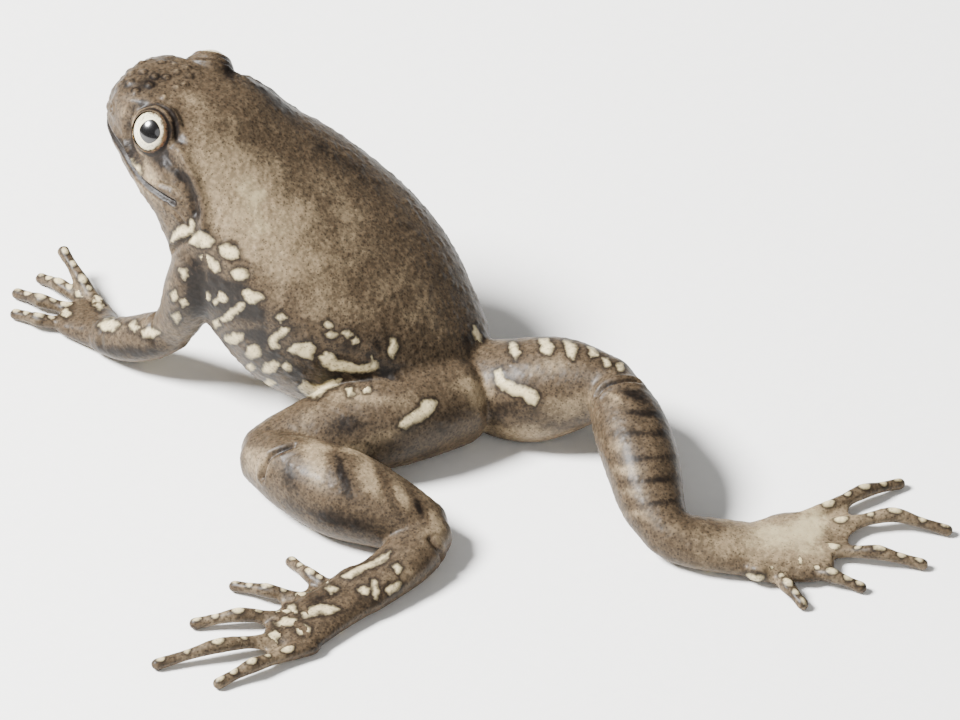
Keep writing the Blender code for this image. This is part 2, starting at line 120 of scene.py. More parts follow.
# Limb stations: left, back, up, half width, half height.
LIMBS = {
    "upper_arm_left": ((6.5, -19.5, 13.0, 2.2, 2.2), (6.9, -20.2, 10.2, 2.0, 2.0),
                       (6.5, -21.5, 7.3, 1.75, 1.75), (5.8, -22.8, 4.9, 1.55, 1.55)),
    "upper_arm_right": ((-6.4, -18.2, 12.6, 2.0, 2.0), (-7.8, -17.4, 10.2, 2.0, 2.0),
                        (-9.3, -16.0, 7.8, 1.8, 1.8), (-10.2, -14.8, 5.8, 1.6, 1.6)),
    "forearm_left": ((5.8, -22.8, 4.7, 1.6, 1.6), (5.65, -24.6, 3.4, 1.85, 1.75),
                     (5.4, -26.8, 2.2, 1.75, 1.65), (4.85, -28.9, 1.45, 1.55, 1.35)),
    "forearm_right": ((-10.2, -14.6, 5.6, 1.65, 1.65), (-10.6, -16.4, 4.3, 1.85, 1.75),
                      (-10.6, -18.6, 2.8, 1.65, 1.6), (-10.3, -20.4, 1.7, 1.45, 1.35)),
    "hand_left": ((4.75, -28.9, 1.4, 1.45, 1.2), (4.0, -30.3, 1.1, 1.9, 1.05),
                  (3.25, -31.7, 0.9, 2.35, 0.9), (2.8, -32.7, 0.75, 2.1, 0.7)),
    "hand_right": ((-10.2, -20.5, 1.5, 1.35, 1.2), (-10.2, -21.9, 1.1, 1.8, 1.05),
                   (-10.3, -23.3, 0.9, 2.3, 0.9), (-10.4, -24.3, 0.75, 2.1, 0.7)),
    "thigh_left": ((2.6, -1.2, 3.5, 3.6, 3.5), (6.4, -3.9, 3.6, 3.9, 3.6),
                   (10.1, -7.2, 3.2, 3.5, 3.1), (12.6, -9.6, 2.8, 2.7, 2.6), (14.0, -10.7, 2.6, 2.15, 2.25)),
    "thigh_right": ((-1.2, -1.7, 3.0, 3.2, 3.0), (-0.9, 1.9, 3.4, 3.8, 3.5),
                    (-1.6, 5.4, 4.3, 3.65, 3.5), (-1.75, 8.5, 5.2, 2.75, 2.7), (-1.8, 10.1, 5.7, 2.15, 2.15)),
    "shank_left": ((14.4, -10.5, 2.7, 2.1, 2.2), (15.5, -7.2, 3.1, 2.85, 2.85),
                   (16.0, -3.2, 3.15, 3.3, 3.1), (16.0, 0.7, 2.6, 2.95, 2.55), (15.8, 3.6, 2.0, 2.2, 2.0)),
    "shank_right": ((-1.6, 10.3, 5.6, 2.0, 2.0), (1.1, 13.0, 5.15, 2.7, 2.7),
                    (4.0, 15.7, 4.2, 2.75, 2.7), (6.7, 18.15, 2.9, 2.2, 2.1), (8.3, 20.1, 2.0, 1.75, 1.75)),
    "tarsus_left": ((16.1, 3.9, 1.9, 2.1, 1.8), (19.2, 3.95, 1.6, 2.2, 1.6),
                    (22.0, 3.25, 1.3, 2.15, 1.3), (24.4, 2.35, 1.05, 2.2, 1.05)),
    "tarsus_right": ((8.2, 20.5, 1.9, 1.9, 1.8), (7.5, 22.3, 1.6, 2.45, 1.6),
                     (6.6, 24.2, 1.3, 2.8, 1.3), (5.8, 25.8, 1.05, 3.0, 1.05)),
    "foot_left": ((24.2, 2.35, 1.05, 2.15, 1.0), (26.4, 1.4, 0.95, 2.3, 0.95),
                  (28.9, 0.6, 0.85, 2.4, 0.85), (31.5, 0.25, 0.7, 2.2, 0.65)),
    "foot_right": ((5.9, 25.7, 1.05, 3.0, 1.0), (4.9, 27.2, 0.95, 3.75, 0.95),
                   (3.7, 28.6, 0.85, 4.2, 0.85), (2.6, 30.1, 0.7, 3.6, 0.65)),
}
# Digits from the first to the last: root, middle joint and tip.
DIGITS = {
    "finger_left": (((1.6, -31.2, 1.1), (0.15, -33.5, 1.65), (-1.5, -36.0, 2.75)),
                    ((1.2, -32.8, 0.8), (0.4, -35.2, 0.9), (-0.3, -37.3, 0.5)),
                    ((2.5, -33.2, 0.75), (2.75, -35.55, 0.9), (2.2, -38.0, 0.5)),
                    ((4.2, -32.4, 0.75), (4.85, -34.6, 0.85), (4.55, -36.9, 0.5))),
    "finger_right": (((-8.9, -23.1, 0.8), (-7.9, -24.7, 0.9), (-6.9, -26.4, 0.5)),
                     ((-9.5, -24.5, 0.8), (-9.0, -26.5, 0.9), (-8.5, -28.6, 0.5)),
                     ((-10.6, -24.8, 0.75), (-10.7, -27.3, 0.95), (-10.9, -29.8, 0.5)),
                     ((-11.9, -24.0, 0.75), (-12.7, -25.9, 0.9), (-13.4, -27.8, 0.5))),
    "toe_left": (((24.4, 0.4, 0.8), (23.7, -1.8, 0.9), (22.2, -4.3, 0.5)),
                 ((26.3, -0.7, 0.8), (26.8, -3.75, 0.95), (26.85, -6.65, 0.5)),
                 ((28.8, -0.9, 0.8), (30.5, -4.2, 1.05), (32.3, -7.1, 0.5)),
                 ((31.2, -0.2, 0.8), (34.6, -3.7, 1.15), (38.0, -7.25, 0.5)),
                 ((32.4, 1.2, 0.8), (35.4, -0.5, 0.95), (38.0, -2.1, 0.5))),
    "toe_right": (((7.4, 28.2, 0.8), (8.5, 30.0, 0.9), (9.5, 31.9, 0.5)),
                  ((6.0, 29.6, 0.8), (5.9, 32.3, 0.95), (5.6, 34.8, 0.5)),
                  ((3.1, 30.6, 0.8), (1.95, 34.2, 1.05), (0.95, 37.55, 0.5)),
                  ((0.1, 29.6, 0.8), (-2.6, 33.2, 1.15), (-3.6, 37.3, 0.5)),
                  ((-1.1, 28.1, 0.8), (-4.4, 29.8, 0.95), (-7.2, 31.5, 0.5))),
}
# Soft pads under the feet: middle, radius and stretch.
CUSHIONS = (((24.5, 0.9, 0.85), 1.0, (1.3, 1.2, 0.8)), ((7.2, 27.2, 1.0), 1.0, (1.7, 2.0, 0.85)),
            ((8.3, 27.5, 1.45), 0.7, (0.9, 1.3, 0.8)))

# Rings and sides of each flesh form.
BODY_MESH = (140, 120)
LIMB_MESH = (50, 48)
DIGIT_MESH = (44, 22)
# Where forms flow into one another: left, back, up and how far the smoothing reaches.
JOINS = (
    (3.5, -3.0, 5.5, 3.4), (-2.5, -1.0, 5.0, 1.5), (7.6, -18.8, 11.5, 2.6), (-7.6, -18.0, 11.5, 2.6),
    (0, -1, 4, 2.2), (15.0, -9.5, 2.8, 2.4), (-1.7, 10.4, 5.7, 2.2), (15.9, 3.9, 2.0, 2.2),
    (8.3, 20.4, 2.0, 2.2), (31.3, 0.2, 0.8, 2.2), (27.5, -0.4, 0.8, 2.4), (24.4, 1.2, 0.8, 1.6),
    (1.6, 30.1, 0.8, 2.6), (5.0, 29.3, 0.8, 2.2), (7.4, 27.6, 0.8, 1.6), (-10.4, -24.3, 0.8, 2.2),
    (2.8, -32.6, 0.8, 2.2),
)
JOIN_ROUNDS = 80

# Reach of the skin between neighbouring digits, as a share of the digits' length.
WEBS = {"toe_left": (0.56, 0.44, 0.36, 0.42), "toe_right": (0.2, 0.12, 0.36, 0.42),
        "finger_left": (0.0, 0.2, 0.3), "finger_right": (0.1, 0.1, 0.1)}
# Soft swells and hollows of the flesh: left, back, up, radius and rise in millimetres.
SWELLS = ((-6.7, -20.0, 18.6, 2.8, -0.52), (-5.9, -22.3, 20.4, 1.6, -0.3), (6.7, -20.0, 18.6, 2.2, -0.1),
          (-3.2, -0.9, 5.1, 1.0, -0.4), (0.6, 5.0, 1.2, 3.2, 0.4), (17.5, -3.2, 0.8, 3.0, 0.22),
          (-3.6, 7.0, 7.0, 2.2, 0.15), (7.6, -22.0, 11.0, 2.6, 0.42), (5.3, -27.0, 17.4, 1.3, 0.22),
          (6.5, -25.0, 16.8, 1.6, 0.34), (7.2, -22.9, 16.2, 1.5, 0.05), (23.2, 0.9, 1.4, 1.3, 0.45),
          (7.0, 16.2, 2.2, 2.4, 0.25), (0.4, -30.2, 21.9, 1.5, 0.12))
# How far round the head from straight ahead the mouth line runs, in degrees, and in how many steps.
MOUTH_SWEEP_DEG = 88.5
MOUTH_STEPS = 24
MOUTH_MIDDLE_BACK = -21.5
# Height of the mouth line by its share of the way from the snout to the corner.
MOUTH_SHARE = (0.0, 0.3, 0.48, 0.58, 0.65, 0.75, 1.0)
MOUTH_HEIGHT = (19.3, 19.3, 19.05, 18.65, 18.38, 18.15, 17.95)
# Lower edge of the upper lip: places forward of the vent and their heights.
UPPER_LIP = ((21.5, 25.3, 27.1, 29.0), (17.95, 18.35, 19.1, 19.3))

# Places and lines that fold, hollow or crease the skin on the animal's left, in millimetres.
NOSTRIL = (2.75, -29.4, 21.0)
CHEEK_HOLLOW = (4.6, -27.3, 20.6)
SNOUT_RIDGE = ((2.6, -29.2, 21.9), (3.1, -28.2, 22.6), (3.5, -27.0, 22.9))
EYE_FOLD = ((5.5, -22.5, 21.5), (6.0, -21.65, 20.95), (6.44, -20.92, 20.37), (6.82, -20.2, 19.75),
            (7.2, -19.7, 19.0), (7.6, -19.2, 18.2), (8.0, -18.9, 16.9))
EYE_HOLLOW = ((6.3, -22.8, 20.7), (6.76, -21.6, 20.2), (7.0, -20.8, 19.6), (7.35, -20.2, 18.9),
              (7.8, -19.8, 17.9))
CORNER_PLEATS = (((7.1, -23.2, 18.9), (7.45, -22.2, 19.1), (7.7, -21.3, 18.7)),
                 ((7.5, -22.4, 17.5), (7.8, -21.5, 17.2), (7.9, -20.8, 16.7)))
ARM_CREASE = ((7.6, -22.0, 13.4), (7.92, -21.35, 14.17), (8.1, -20.7, 15.0), (8.5, -19.9, 15.9))
LIMB_CREASES = (
    ((15.9, -7.3, 6.0), (16.41, -7.94, 5.85), (16.95, -8.75, 5.38), (17.5, -9.04, 4.73), (17.9, -9.1, 3.7)),
    ((1.05, 10.5, 6.77), (0.4, 10.8, 7.4), (-0.17, 11.5, 7.8), (-1.2, 12.6, 7.6)),
    ((18.1, 5.25, 3.05), (18.2, 5.8, 2.4), (17.84, 5.9, 1.3)),
    ((4.6, -21.8, 5.3), (5.2, -23.9, 6.0), (6.6, -24.1, 5.4), (7.4, -23.6, 4.4)),
    ((4.0, -28.2, 2.6), (5.2, -28.3, 2.7), (6.2, -28.2, 2.0)),
)
CREASE_DEPTHS = (0.25, 0.28, 0.2, 0.1, 0.08)
# Grooves: depth, half width, height of the lips beside them, how far off the lips lie and their half width.
NOSTRIL_GROOVE = (0.42, 0.24, 0.12, 0.45, 0.17)
PLEAT_GROOVE = (0.1, 0.16, 0.04, 0.35, 0.18)
ARM_GROOVE = (0.2, 0.2, 0.08, 0.5, 0.25)
# The limbs' groove, with its depth and lips as shares of each crease's own depth.
LIMB_GROOVE = (1.0, 0.24, 0.4, 0.55, 0.3)

# Small round warts on the snout and between the eyes: left and back, in millimetres.
WARTS = ((1.56, -29.4), (0.4, -29.7), (-0.2, -29.5), (0.6, -29.0), (-1.1, -29.0), (1.64, -28.5), (0.3, -28.1),
         (2.4, -27.6), (-1.5, -27.5), (1.5, -26.9), (0.5, -27.0), (-1.6, -26.5), (0.15, -26.2), (-0.9, -25.9),
         (-1.8, -25.5), (2.2, -25.3), (0.75, -25.0), (0.1, -24.7), (-1.0, -24.9))

# Grains scattered over the skin: how many, their smallest and largest radius, and the seed of their places.
GRAIN_COUNT = 5200
GRAIN_RADIUS = (0.16, 0.36)
GRAIN_SEED = 11

# Pale spots on a digit: which of its two bones, the share along it, half length and half width.
DIGIT_SPOTS = ((0, 0.12, 0.5, 0.34), (0, 0.62, 0.24, 0.2), (1, 0.0, 0.44, 0.32), (1, 0.5, 0.28, 0.24),
               (1, 0.9, 0.3, 0.2))

# The blotch that runs from the flank over the edge of the thigh, in steps of the drawing's grid.
THIGH_EDGE_BLOTCH = (
    (299, 387), (304, 382), (312, 383), (319, 386), (326, 384), (333, 380), (342, 379), (338, 384),
    (328, 389), (322, 394), (315, 397), (306, 395),
)
# Pale blotches of the flank, each an outline in steps of the drawing's grid: across and down.
FLANK_BLOTCHES = (
    ((171, 243), (174, 235), (179, 227), (184, 226), (190, 228), (192, 221), (195, 225), (193, 232),
     (188, 237), (181, 238)),
    ((190, 243), (195, 236), (201, 232), (208, 236), (214, 242), (210, 247), (203, 248), (197, 244)),
    ((221, 248), (227, 243), (234, 247), (239, 251), (239, 258), (232, 259), (226, 257), (221, 254)),
    ((200, 257), (207, 256), (214, 259), (219, 264), (221, 270), (216, 273), (211, 268), (207, 262)),
    ((232, 273), (238, 269), (246, 271), (249, 276), (244, 280), (237, 280)),
    ((244, 293), (250, 290), (255, 293), (261, 295), (265, 298), (258, 301), (256, 305), (250, 304),
     (247, 299)),
    ((206, 296), (209, 292), (211, 296), (209, 300), (206, 299)),
    ((220, 291), (226, 294), (229, 299), (225, 302), (220, 301), (216, 305), (214, 303), (218, 298)),
    ((240, 303), (245, 304), (242, 310), (236, 315), (230, 319), (224, 322), (221, 319), (228, 314),
     (234, 308)),
    ((226, 336), (234, 334), (243, 334), (244, 338), (240, 342), (232, 344), (226, 341)),
    ((270, 339), (276, 333), (283, 329), (289, 329), (286, 335), (280, 338), (277, 343), (280, 348),
     (273, 348)),
    ((249, 347), (256, 344), (261, 349), (260, 357), (253, 359), (246, 354)),
    ((288, 351), (294, 345), (303, 343), (313, 343), (316, 347), (313, 353), (312, 359), (304, 357),
     (297, 354)),
    ((263, 368), (267, 362), (275, 361), (279, 364), (277, 370), (271, 373), (265, 372)),
    ((283, 367), (287, 362), (292, 364), (292, 370), (286, 371)),
    ((320, 357), (327, 353), (334, 355), (338, 360), (346, 362), (356, 365), (366, 366), (371, 363),
     (372, 356), (376, 361), (379, 368), (370, 372), (356, 372), (342, 371), (331, 370), (325, 367)),
    THIGH_EDGE_BLOTCH,
    ((391, 338), (396, 340), (399, 346), (396, 352), (393, 359), (389, 352), (391, 345)),
    ((325, 324), (329, 321), (332, 326), (328, 328)),
    ((325, 334), (331, 332), (337, 335), (331, 338)),
    ((343, 333), (349, 331), (353, 335), (348, 338)),
    ((352, 340), (356, 338), (358, 342), (354, 344)),
    ((474, 326), (478, 330), (482, 340), (480, 347), (476, 340), (473, 333)),
    ((276, 318), (283, 314), (287, 318), (281, 322)),
    ((262, 383), (269, 379), (275, 383), (268, 388)),
    ((247, 366), (252, 363), (256, 368), (251, 371)),
    ((214, 322), (219, 319), (221, 325), (216, 328)),
    ((132, 157), (136, 160), (141, 168), (142, 174), (138, 171), (134, 165)),
)
LIMB_BLOTCHES = (
    THIGH_EDGE_BLOTCH,
    ((419, 408), (424, 401), (431, 399), (437, 403), (434, 410), (428, 415), (421, 420), (412, 424),
     (404, 428), (399, 426), (402, 420), (411, 414)),
    ((495, 372), (500, 369), (504, 378), (515, 384), (524, 387), (534, 391), (539, 398), (535, 405),
     (529, 403), (523, 397), (513, 394), (504, 389), (497, 385)),
    ((510, 344), (516, 343), (519, 352), (515, 358), (510, 353)),
    ((540, 340), (548, 339), (553, 347), (549, 355), (542, 351)),
    ((564, 341), (571, 342), (577, 349), (573, 359), (568, 356), (566, 348)),
    ((588, 347), (594, 349), (597, 355), (591, 356)),
    ((602, 358), (607, 359), (610, 365), (605, 366)),
    ((616, 365), (622, 364), (624, 369), (618, 371)),
    ((347, 389), (352, 388), (354, 393), (349, 395)),
    ((363, 386), (368, 385), (370, 391), (365, 392)),
    ((181, 270), (186, 270), (189, 276), (185, 280), (182, 276)),
    ((344, 575), (352, 569), (362, 565), (374, 560), (384, 554), (391, 550), (389, 555), (380, 561),
     (370, 566), (360, 571), (352, 576)),
    ((374, 579), (377, 579), (379, 590), (378, 598), (375, 596), (374, 588)),
    ((387, 588), (391, 583), (397, 580), (402, 582), (398, 587), (391, 592)),
    ((394, 565), (398, 562), (402, 567), (398, 571)),
    ((360, 588), (364, 585), (369, 588), (368, 593), (362, 592)),
    ((302, 583), (307, 577), (313, 581), (312, 588), (306, 590)),
    ((289, 603), (295, 603), (298, 610), (293, 611)),
    ((304, 611), (312, 606), (322, 604), (334, 604), (340, 607), (332, 611), (320, 610), (312, 614),
     (306, 615)),
    ((277, 621), (286, 616), (297, 617), (295, 622), (284, 624)),
    ((299, 626), (305, 622), (312, 626), (309, 632), (302, 631)),
    ((327, 587), (333, 584), (338, 588), (332, 591)),
    ((266, 636), (273, 632), (277, 628), (280, 634), (277, 641), (270, 640)),
    ((745, 574), (752, 572), (761, 576), (757, 580), (749, 579)),
    ((84, 291), (89, 290), (92, 295), (88, 298)),
    ((89, 296), (95, 299), (102, 306), (99, 310), (93, 304)),
    ((60, 300), (66, 298), (70, 303), (64, 306)),
    ((58, 312), (64, 309), (70, 313), (65, 317)),
    ((98, 325), (104, 320), (113, 319), (118, 324), (113, 330), (103, 330)),
    ((128, 325), (134, 322), (139, 327), (134, 332)),
    ((142, 331), (150, 328), (159, 333), (153, 338), (144, 337)),
    ((172, 294), (176, 291), (178, 297), (174, 301)),
    ((173, 316), (178, 313), (181, 318), (177, 323)),
    ((181, 300), (186, 299), (188, 304), (183, 307)),
)

# Soft lighter (above nought) and darker (below) patches: real bars and dark patches between the blotches,
# together with painted light and shade, such as the lit shoulder and flank, painted shade behind the eye,
# over the far side of the back and along the limbs' lower edges: across, down, half length, half width, turn,
# amount.
BODY_MARKS_PAINTED_LIGHT_AND_SHADE = (
    (255, 225, 95, 42, 55, 0.55), (225, 165, 35, 24, 40, 0.2), (330, 270, 60, 35, 45, 0.15),
    (150, 176, 13, 7, 40, 0.9), (447, 290, 80, 20, 62, -0.22), (330, 150, 95, 15, 42, -0.3),
    (150, 78, 38, 14, -20, -0.5), (210, 95, 45, 12, 10, -0.2), (430, 350, 40, 22, 0, -0.3),
    (231, 68, 9, 11, 0, -0.7), (207, 52, 10, 3, 0, 0.3), (174, 130, 17, 4, 88, -0.8),
    (166, 150, 14, 3.5, -15, -0.7), (164, 164, 7, 5, 0, -0.6), (183, 177, 10, 5, 30, -0.7),
    (193, 195, 10, 6, 70, -0.6), (197, 215, 10, 7, 80, -0.4), (121, 141, 12, 4, 55, -0.5),
    (142, 165, 5, 4, 0, -0.5), (125, 112, 7, 6, 0, 0.3), (118, 155, 10, 4, 60, 0.2),
    (150, 194, 22, 4, 45, 0.3), (235, 246, 5, 4, 60, -0.9), (205, 285, 16, 10, 60, -0.8),
    (237, 288, 12, 7, 10, -0.8), (254, 312, 15, 8, 10, -0.8), (253, 336, 12, 6, 10, -0.8),
    (275, 355, 9, 6, 0, -0.8), (312, 368, 28, 9, 10, -0.5), (352, 378, 34, 5, 2, -0.6),
    (387, 372, 12, 9, 0, -0.6), (194, 264, 10, 6, 30, -0.7), (216, 281, 10, 6, 20, -0.8),
    (294, 377, 9, 9, 0, -0.6), (264, 344, 6, 12, 0, -0.6), (300, 330, 25, 10, 20, -0.35),
    (378, 345, 9, 16, 0, -0.4), (345, 348, 14, 6, 5, -0.5), (240, 262, 14, 5, 20, -0.6),
    (466, 345, 6, 16, 0, -0.5), (190, 95, 30, 14, 20, 0.3), (335, 215, 60, 30, 40, 0.22),
    (425, 320, 40, 22, 50, 0.25), (255, 205, 60, 35, 50, 0.4), (226, 300, 34, 20, 20, -0.7),
    (470, 345, 14, 26, 0, 0.15), (270, 96, 30, 7, 42, -0.5),
)
# The limbs' patches: real light and dark bars on the shanks, with painted light on their lit sides and
# painted shade along their lower edges.
LIMB_MARKS_PAINTED_LIGHT_AND_SHADE = (
    (200, 292, 30, 13, 75, -0.7), (172, 292, 14, 8, 75, 0.35), (152, 330, 18, 7, 8, 0.35),
    (112, 325, 14, 9, 0, 0.3), (130, 352, 60, 7, 5, -0.5), (266, 463, 15, 6, 105, 0.5),
    (316, 462, 23, 11, 75, 0.65), (371, 476, 25, 11, 65, 0.65), (404, 497, 22, 9, 62, 0.55),
    (432, 512, 22, 6, 60, 0.3), (345, 449, 50, 4, 5, 0.35), (291, 474, 26, 9, 75, -0.5),
    (343, 472, 30, 6, 72, -0.5), (389, 490, 28, 5, 64, -0.55), (419, 507, 22, 5, 62, -0.6),
    (340, 520, 60, 12, 14, -0.45), (350, 425, 35, 14, 5, -0.4), (252, 460, 17, 10, 90, 0.4),
    (370, 398, 28, 6, 8, 0.25), (440, 425, 22, 16, 20, -0.25), (430, 455, 40, 7, 5, -0.4),
    (560, 366, 50, 10, 3, 0.2), (505, 408, 34, 12, 0, -0.5), (560, 398, 34, 12, -10, -0.15),
    (560, 428, 50, 7, -5, -0.4), (532, 430, 16, 6, 0, 0.2), (628, 393, 26, 8, 20, -0.7),
    (642, 413, 28, 4.5, 5, -0.6), (642, 433, 28, 4, 0, -0.5), (640, 458, 30, 4, -3, -0.5),
    (645, 480, 30, 4, -5, -0.45), (650, 503, 28, 4, -8, -0.4), (614, 396, 9, 4, 20, 0.5),
    (613, 425, 9, 4, 0, 0.4), (616, 445, 9, 6, 0, 0.4), (625, 469, 12, 7, 0, 0.5), (628, 491, 11, 6, 0, 0.45),
    (634, 512, 11, 7, 0, 0.4), (668, 440, 14, 55, 0, -0.3), (768, 537, 46, 26, 0, 0.75),
    (808, 528, 40, 18, -5, 0.4), (705, 545, 30, 25, 0, -0.25), (352, 608, 50, 8, -25, -0.35),
    (330, 640, 60, 6, -28, -0.3), (322, 596, 22, 6, -15, -0.4), (330, 408, 32, 13, -30, 0.35),
    (395, 430, 38, 12, -15, 0.35), (435, 535, 16, 25, 0, 0.35), (400, 575, 30, 16, -40, 0.2),
    (560, 405, 45, 16, 0, 0.4), (535, 432, 45, 9, 0, 0.7), (190, 295, 14, 30, 0, -0.25),
    (708, 545, 34, 22, 0, 0.4), (480, 400, 14, 16, 0, 0.7), (812, 520, 26, 14, -20, 0.45),
    (815, 552, 26, 9, 8, 0.4), (620, 388, 18, 10, 0, 0.25), (668, 440, 10, 45, 0, 0.15),
    (642, 530, 20, 14, 0, -0.2), (255, 438, 20, 8, 0, -0.2), (425, 560, 14, 14, 0, -0.3),
    (467, 386, 11, 9, 0, 0.3),
)

# Finishes of live frog skin and eye, as the eye sees them; the light and shade colours also carry painted
# light and shade, and the iris edge a painted lid shadow.
COLOUR_HEX = {
    "back": "#3F3427", "shade": "#120D09", "light": "#74654F", "pale": "#BBAC86", "belly": "#5E5140",
    "iris": "#D3C9A9", "iris_net_and_lid_shadow": "#3B3022", "pupil": "#050404", "floor": "#F4F3F0",
}

# Kinds of shader node and their settings, in plain words.
MATH = "ShaderNodeMath"
RAMP = "ShaderNodeMapRange"
MIX = "ShaderNodeMix"
TIMES_PLUS = {"operation": "MULTIPLY_ADD"}
TIMES = {"operation": "MULTIPLY"}
PLUS = {"operation": "ADD"}
MINUS = {"operation": "SUBTRACT"}
LARGER = {"operation": "MAXIMUM"}
SOFT = {"interpolation_type": "SMOOTHSTEP"}
EVEN = {"interpolation_type": "LINEAR"}
COLOUR = {"data_type": "RGBA"}

# The studio: film width and a very long lens in millimetres, since the drawing shows no perspective.
FILM_WIDTH = 36.0
LENS = 1200.0
# Half the floor's width in metres, and each lamp's place and size.
FLOOR_HALF = 3.0
LAMPS = {"key": ((0.19, -0.32, 0.42), 0.2), "fill": ((0.35, 0.30, 0.28), 0.40)}


def linear(text):
    """A colour given as sRGB hex, turned linear."""
    parts = [int(text[i:i + 2], 16) / 255 for i in (1, 3, 5)]
    return tuple(c / 12.92 if c <= 0.04045 else ((c + 0.055) / 1.055) ** 2.4 for c in parts)


def colour_property(key, name, words):
    """A colour that a user may change."""
    return FloatVectorProperty(name=name, description=words, subtype="COLOR", size=3, min=0, max=1,
                               default=linear(COLOUR_HEX[key]))


def length_property(name, words, millimetres):
    """A small length that a user may change, kept in metres."""
    return FloatProperty(name=name, description=words, default=millimetres * MM, min=0.0, max=0.002,
                         unit="LENGTH", precision=6)


class FrogSizes(bpy.types.PropertyGroup):
    """Sizes that a user would change."""
    skin_step: length_property("Skin mesh step", "Distance between the skin's points", 0.11)
    wart_height: length_property("Wart height", "Rise of a wart on the snout", 0.15)
    mouth_depth: length_property("Mouth line depth", "Depth of the mouth line", 0.3)
    fold_height: length_property("Eye fold height", "Rise of the fold from the eye to the shoulder", 0.34)
    blotch_rise: length_property("Blotch rise", "How far a pale blotch stands above the skin", 0.05)
    grain_rise: length_property("Grain rise", "Rise of the skin's scattered grains", 0.07)
    smoothing: IntProperty(name="Skin smoothing", description="Rounds of smoothing over the whole skin",
                           default=10, min=0, max=60)


class FrogColours(bpy.types.PropertyGroup):
    """Colours that a user would change."""
    back: colour_property("back", "Back", "Ground colour of the skin")
    # Shade paints the real dark bars, blotch rims and dark patches, and also painted shade in the mouth line,
    # creases, nostrils, eye hollows and lid margins, round the warts and over the body's shaded side.
    shade: colour_property("shade", "Dark markings", "Bars, rims of the blotches and dark patches")
    # Light paints the limbs' real light bars, and also painted light on the lit shoulder, flank and shanks
    # and on the warts' tops.
    light: colour_property("light", "Light skin", "Lighter parts of the back and limbs")
    pale: colour_property("pale", "Pale blotches", "Blotches of the flank and limbs")
    belly: colour_property("belly", "Belly", "Underside of the body and limbs")
    iris: colour_property("iris", "Iris", "Pale ring of the eye")
    # The iris edge paints the iris's real dark net and a painted lid shadow round its rim.
    iris_net_and_lid_shadow: colour_property("iris_net_and_lid_shadow", "Iris edge", "Dark net and rim of the iris")
    pupil: colour_property("pupil", "Pupil", "Pupil of the eye")
    floor: colour_property("floor", "Floor", "Plain studio floor")


class FrogLights(bpy.types.PropertyGroup):
    """Lights that a user would change."""
    key_power: FloatProperty(name="Key light", description="Power of the main soft light", default=19.0,
                             min=0, unit="POWER")
    fill_power: FloatProperty(name="Fill light", description="Power of the light from the right", default=0.8,
                              min=0, unit="POWER")
    sky: FloatProperty(name="Room light", description="Even light from all round", default=0.3, min=0)


def spline(table, place):
    """The value at one place along a row of stations, joined by a smooth curve."""
    last = len(table) - 1
    index = min(int(place), last - 1)
    share = place - index
    rows = [np.array(table[min(max(index + step, 0), last)], float) for step in (-1, 0, 1, 2)]
    slope_in = (rows[2] - rows[0]) / 2
    slope_out = (rows[3] - rows[1]) / 2
    square, cube = share ** 2, share ** 3
    return ((2 * cube - 3 * square + 1) * rows[1] + (cube - 2 * square + share) * slope_in
            + (3 * square - 2 * cube) * rows[2] + (cube - square) * slope_out)


def loft(table, rings, sides, square=(2.1, 2.1), caps=(0.8, 0.8)):
    """Points and faces of a closed round body along stations: left, back, up, half width, above, below."""
    last = len(table) - 1
    angles = np.linspace(0, 2 * np.pi, sides, endpoint=False)

    def ring(station, shrink, along):
        row, tangent, side, up, power = station
        across = np.sign(np.cos(angles)) * np.abs(np.cos(angles)) ** (2 / power) * row[3]
        rise = np.sign(np.sin(angles)) * np.abs(np.sin(angles)) ** (2 / power)
        rise = np.where(rise >= 0, rise * row[4], rise * row[5])
        return row[:3] + tangent * along + shrink * (across[:, None] * side + rise[:, None] * up)

    stations = []
    for i in range(rings):
        place = last * i / (rings - 1)
        tangent = spline(table, min(place + 0.02, last))[:3] - spline(table, max(place - 0.02, 0))[:3]
        tangent /= np.linalg.norm(tangent)
        side = np.cross(tangent, (0, 0, 1))
        if np.linalg.norm(side) < 0.2:
            side = np.cross(tangent, (0, 1, 0))
        side /= np.linalg.norm(side)
        power = square[0] + (square[1] - square[0]) * i / (rings - 1)
        stations.append((spline(table, place), tangent, side, np.cross(side, tangent), power))
    turns = np.linspace(0, np.pi / 2, 7)[1:-1]
    rows = [ring(station, 1.0, 0.0) for station in stations]
    poles = []
    for sign, cap, station in ((-1, caps[0], stations[0]), (1, caps[1], stations[-1])):
        reach = sign * cap * min(station[0][3:6])
        rim = [ring(station, math.cos(turn), reach * math.sin(turn)) for turn in turns]
        rows = rim[::-1] + rows if sign < 0 else rows + rim
        poles.append(station[0][:3] + station[1] * reach)
    count = len(rows)
    faces = []
    for low in range(count - 1):
        for k in range(sides):
            n = (k + 1) % sides
            faces.append((low * sides + k, low * sides + n, (low + 1) * sides + n, (low + 1) * sides + k))
    for k in range(sides):
        n = (k + 1) % sides
        faces.append((count * sides, n, k))
        faces.append((count * sides + 1, (count - 1) * sides + k, (count - 1) * sides + n))
    return np.vstack(rows + [np.array(poles)]), faces


def digit_table(points):
    """Stations of a slim digit with swollen joints and a rounded tip."""
    base, middle, tip = (np.array(point, float) for point in points)
    tip = tip - (tip - middle) / np.linalg.norm(tip - middle) * DIGIT_RADIUS * 0.2
    rows = []
    for share, swell in ((-0.25, 1.28), (0.0, 1.12), (0.25, 0.9), (0.5, 1.0), (0.75, 0.74), (1.0, 0.8)):
        if share <= 0.5:
            place = base + (middle - base) * share * 2
        else:
            place = middle + (tip - middle) * (share * 2 - 1)
        arch = math.sin(math.pi * max(share, 0)) * 0.08
        radius = DIGIT_RADIUS * swell
        rows.append((place[0], place[1], place[2] + arch, radius * 1.08, radius, radius))
    return rows


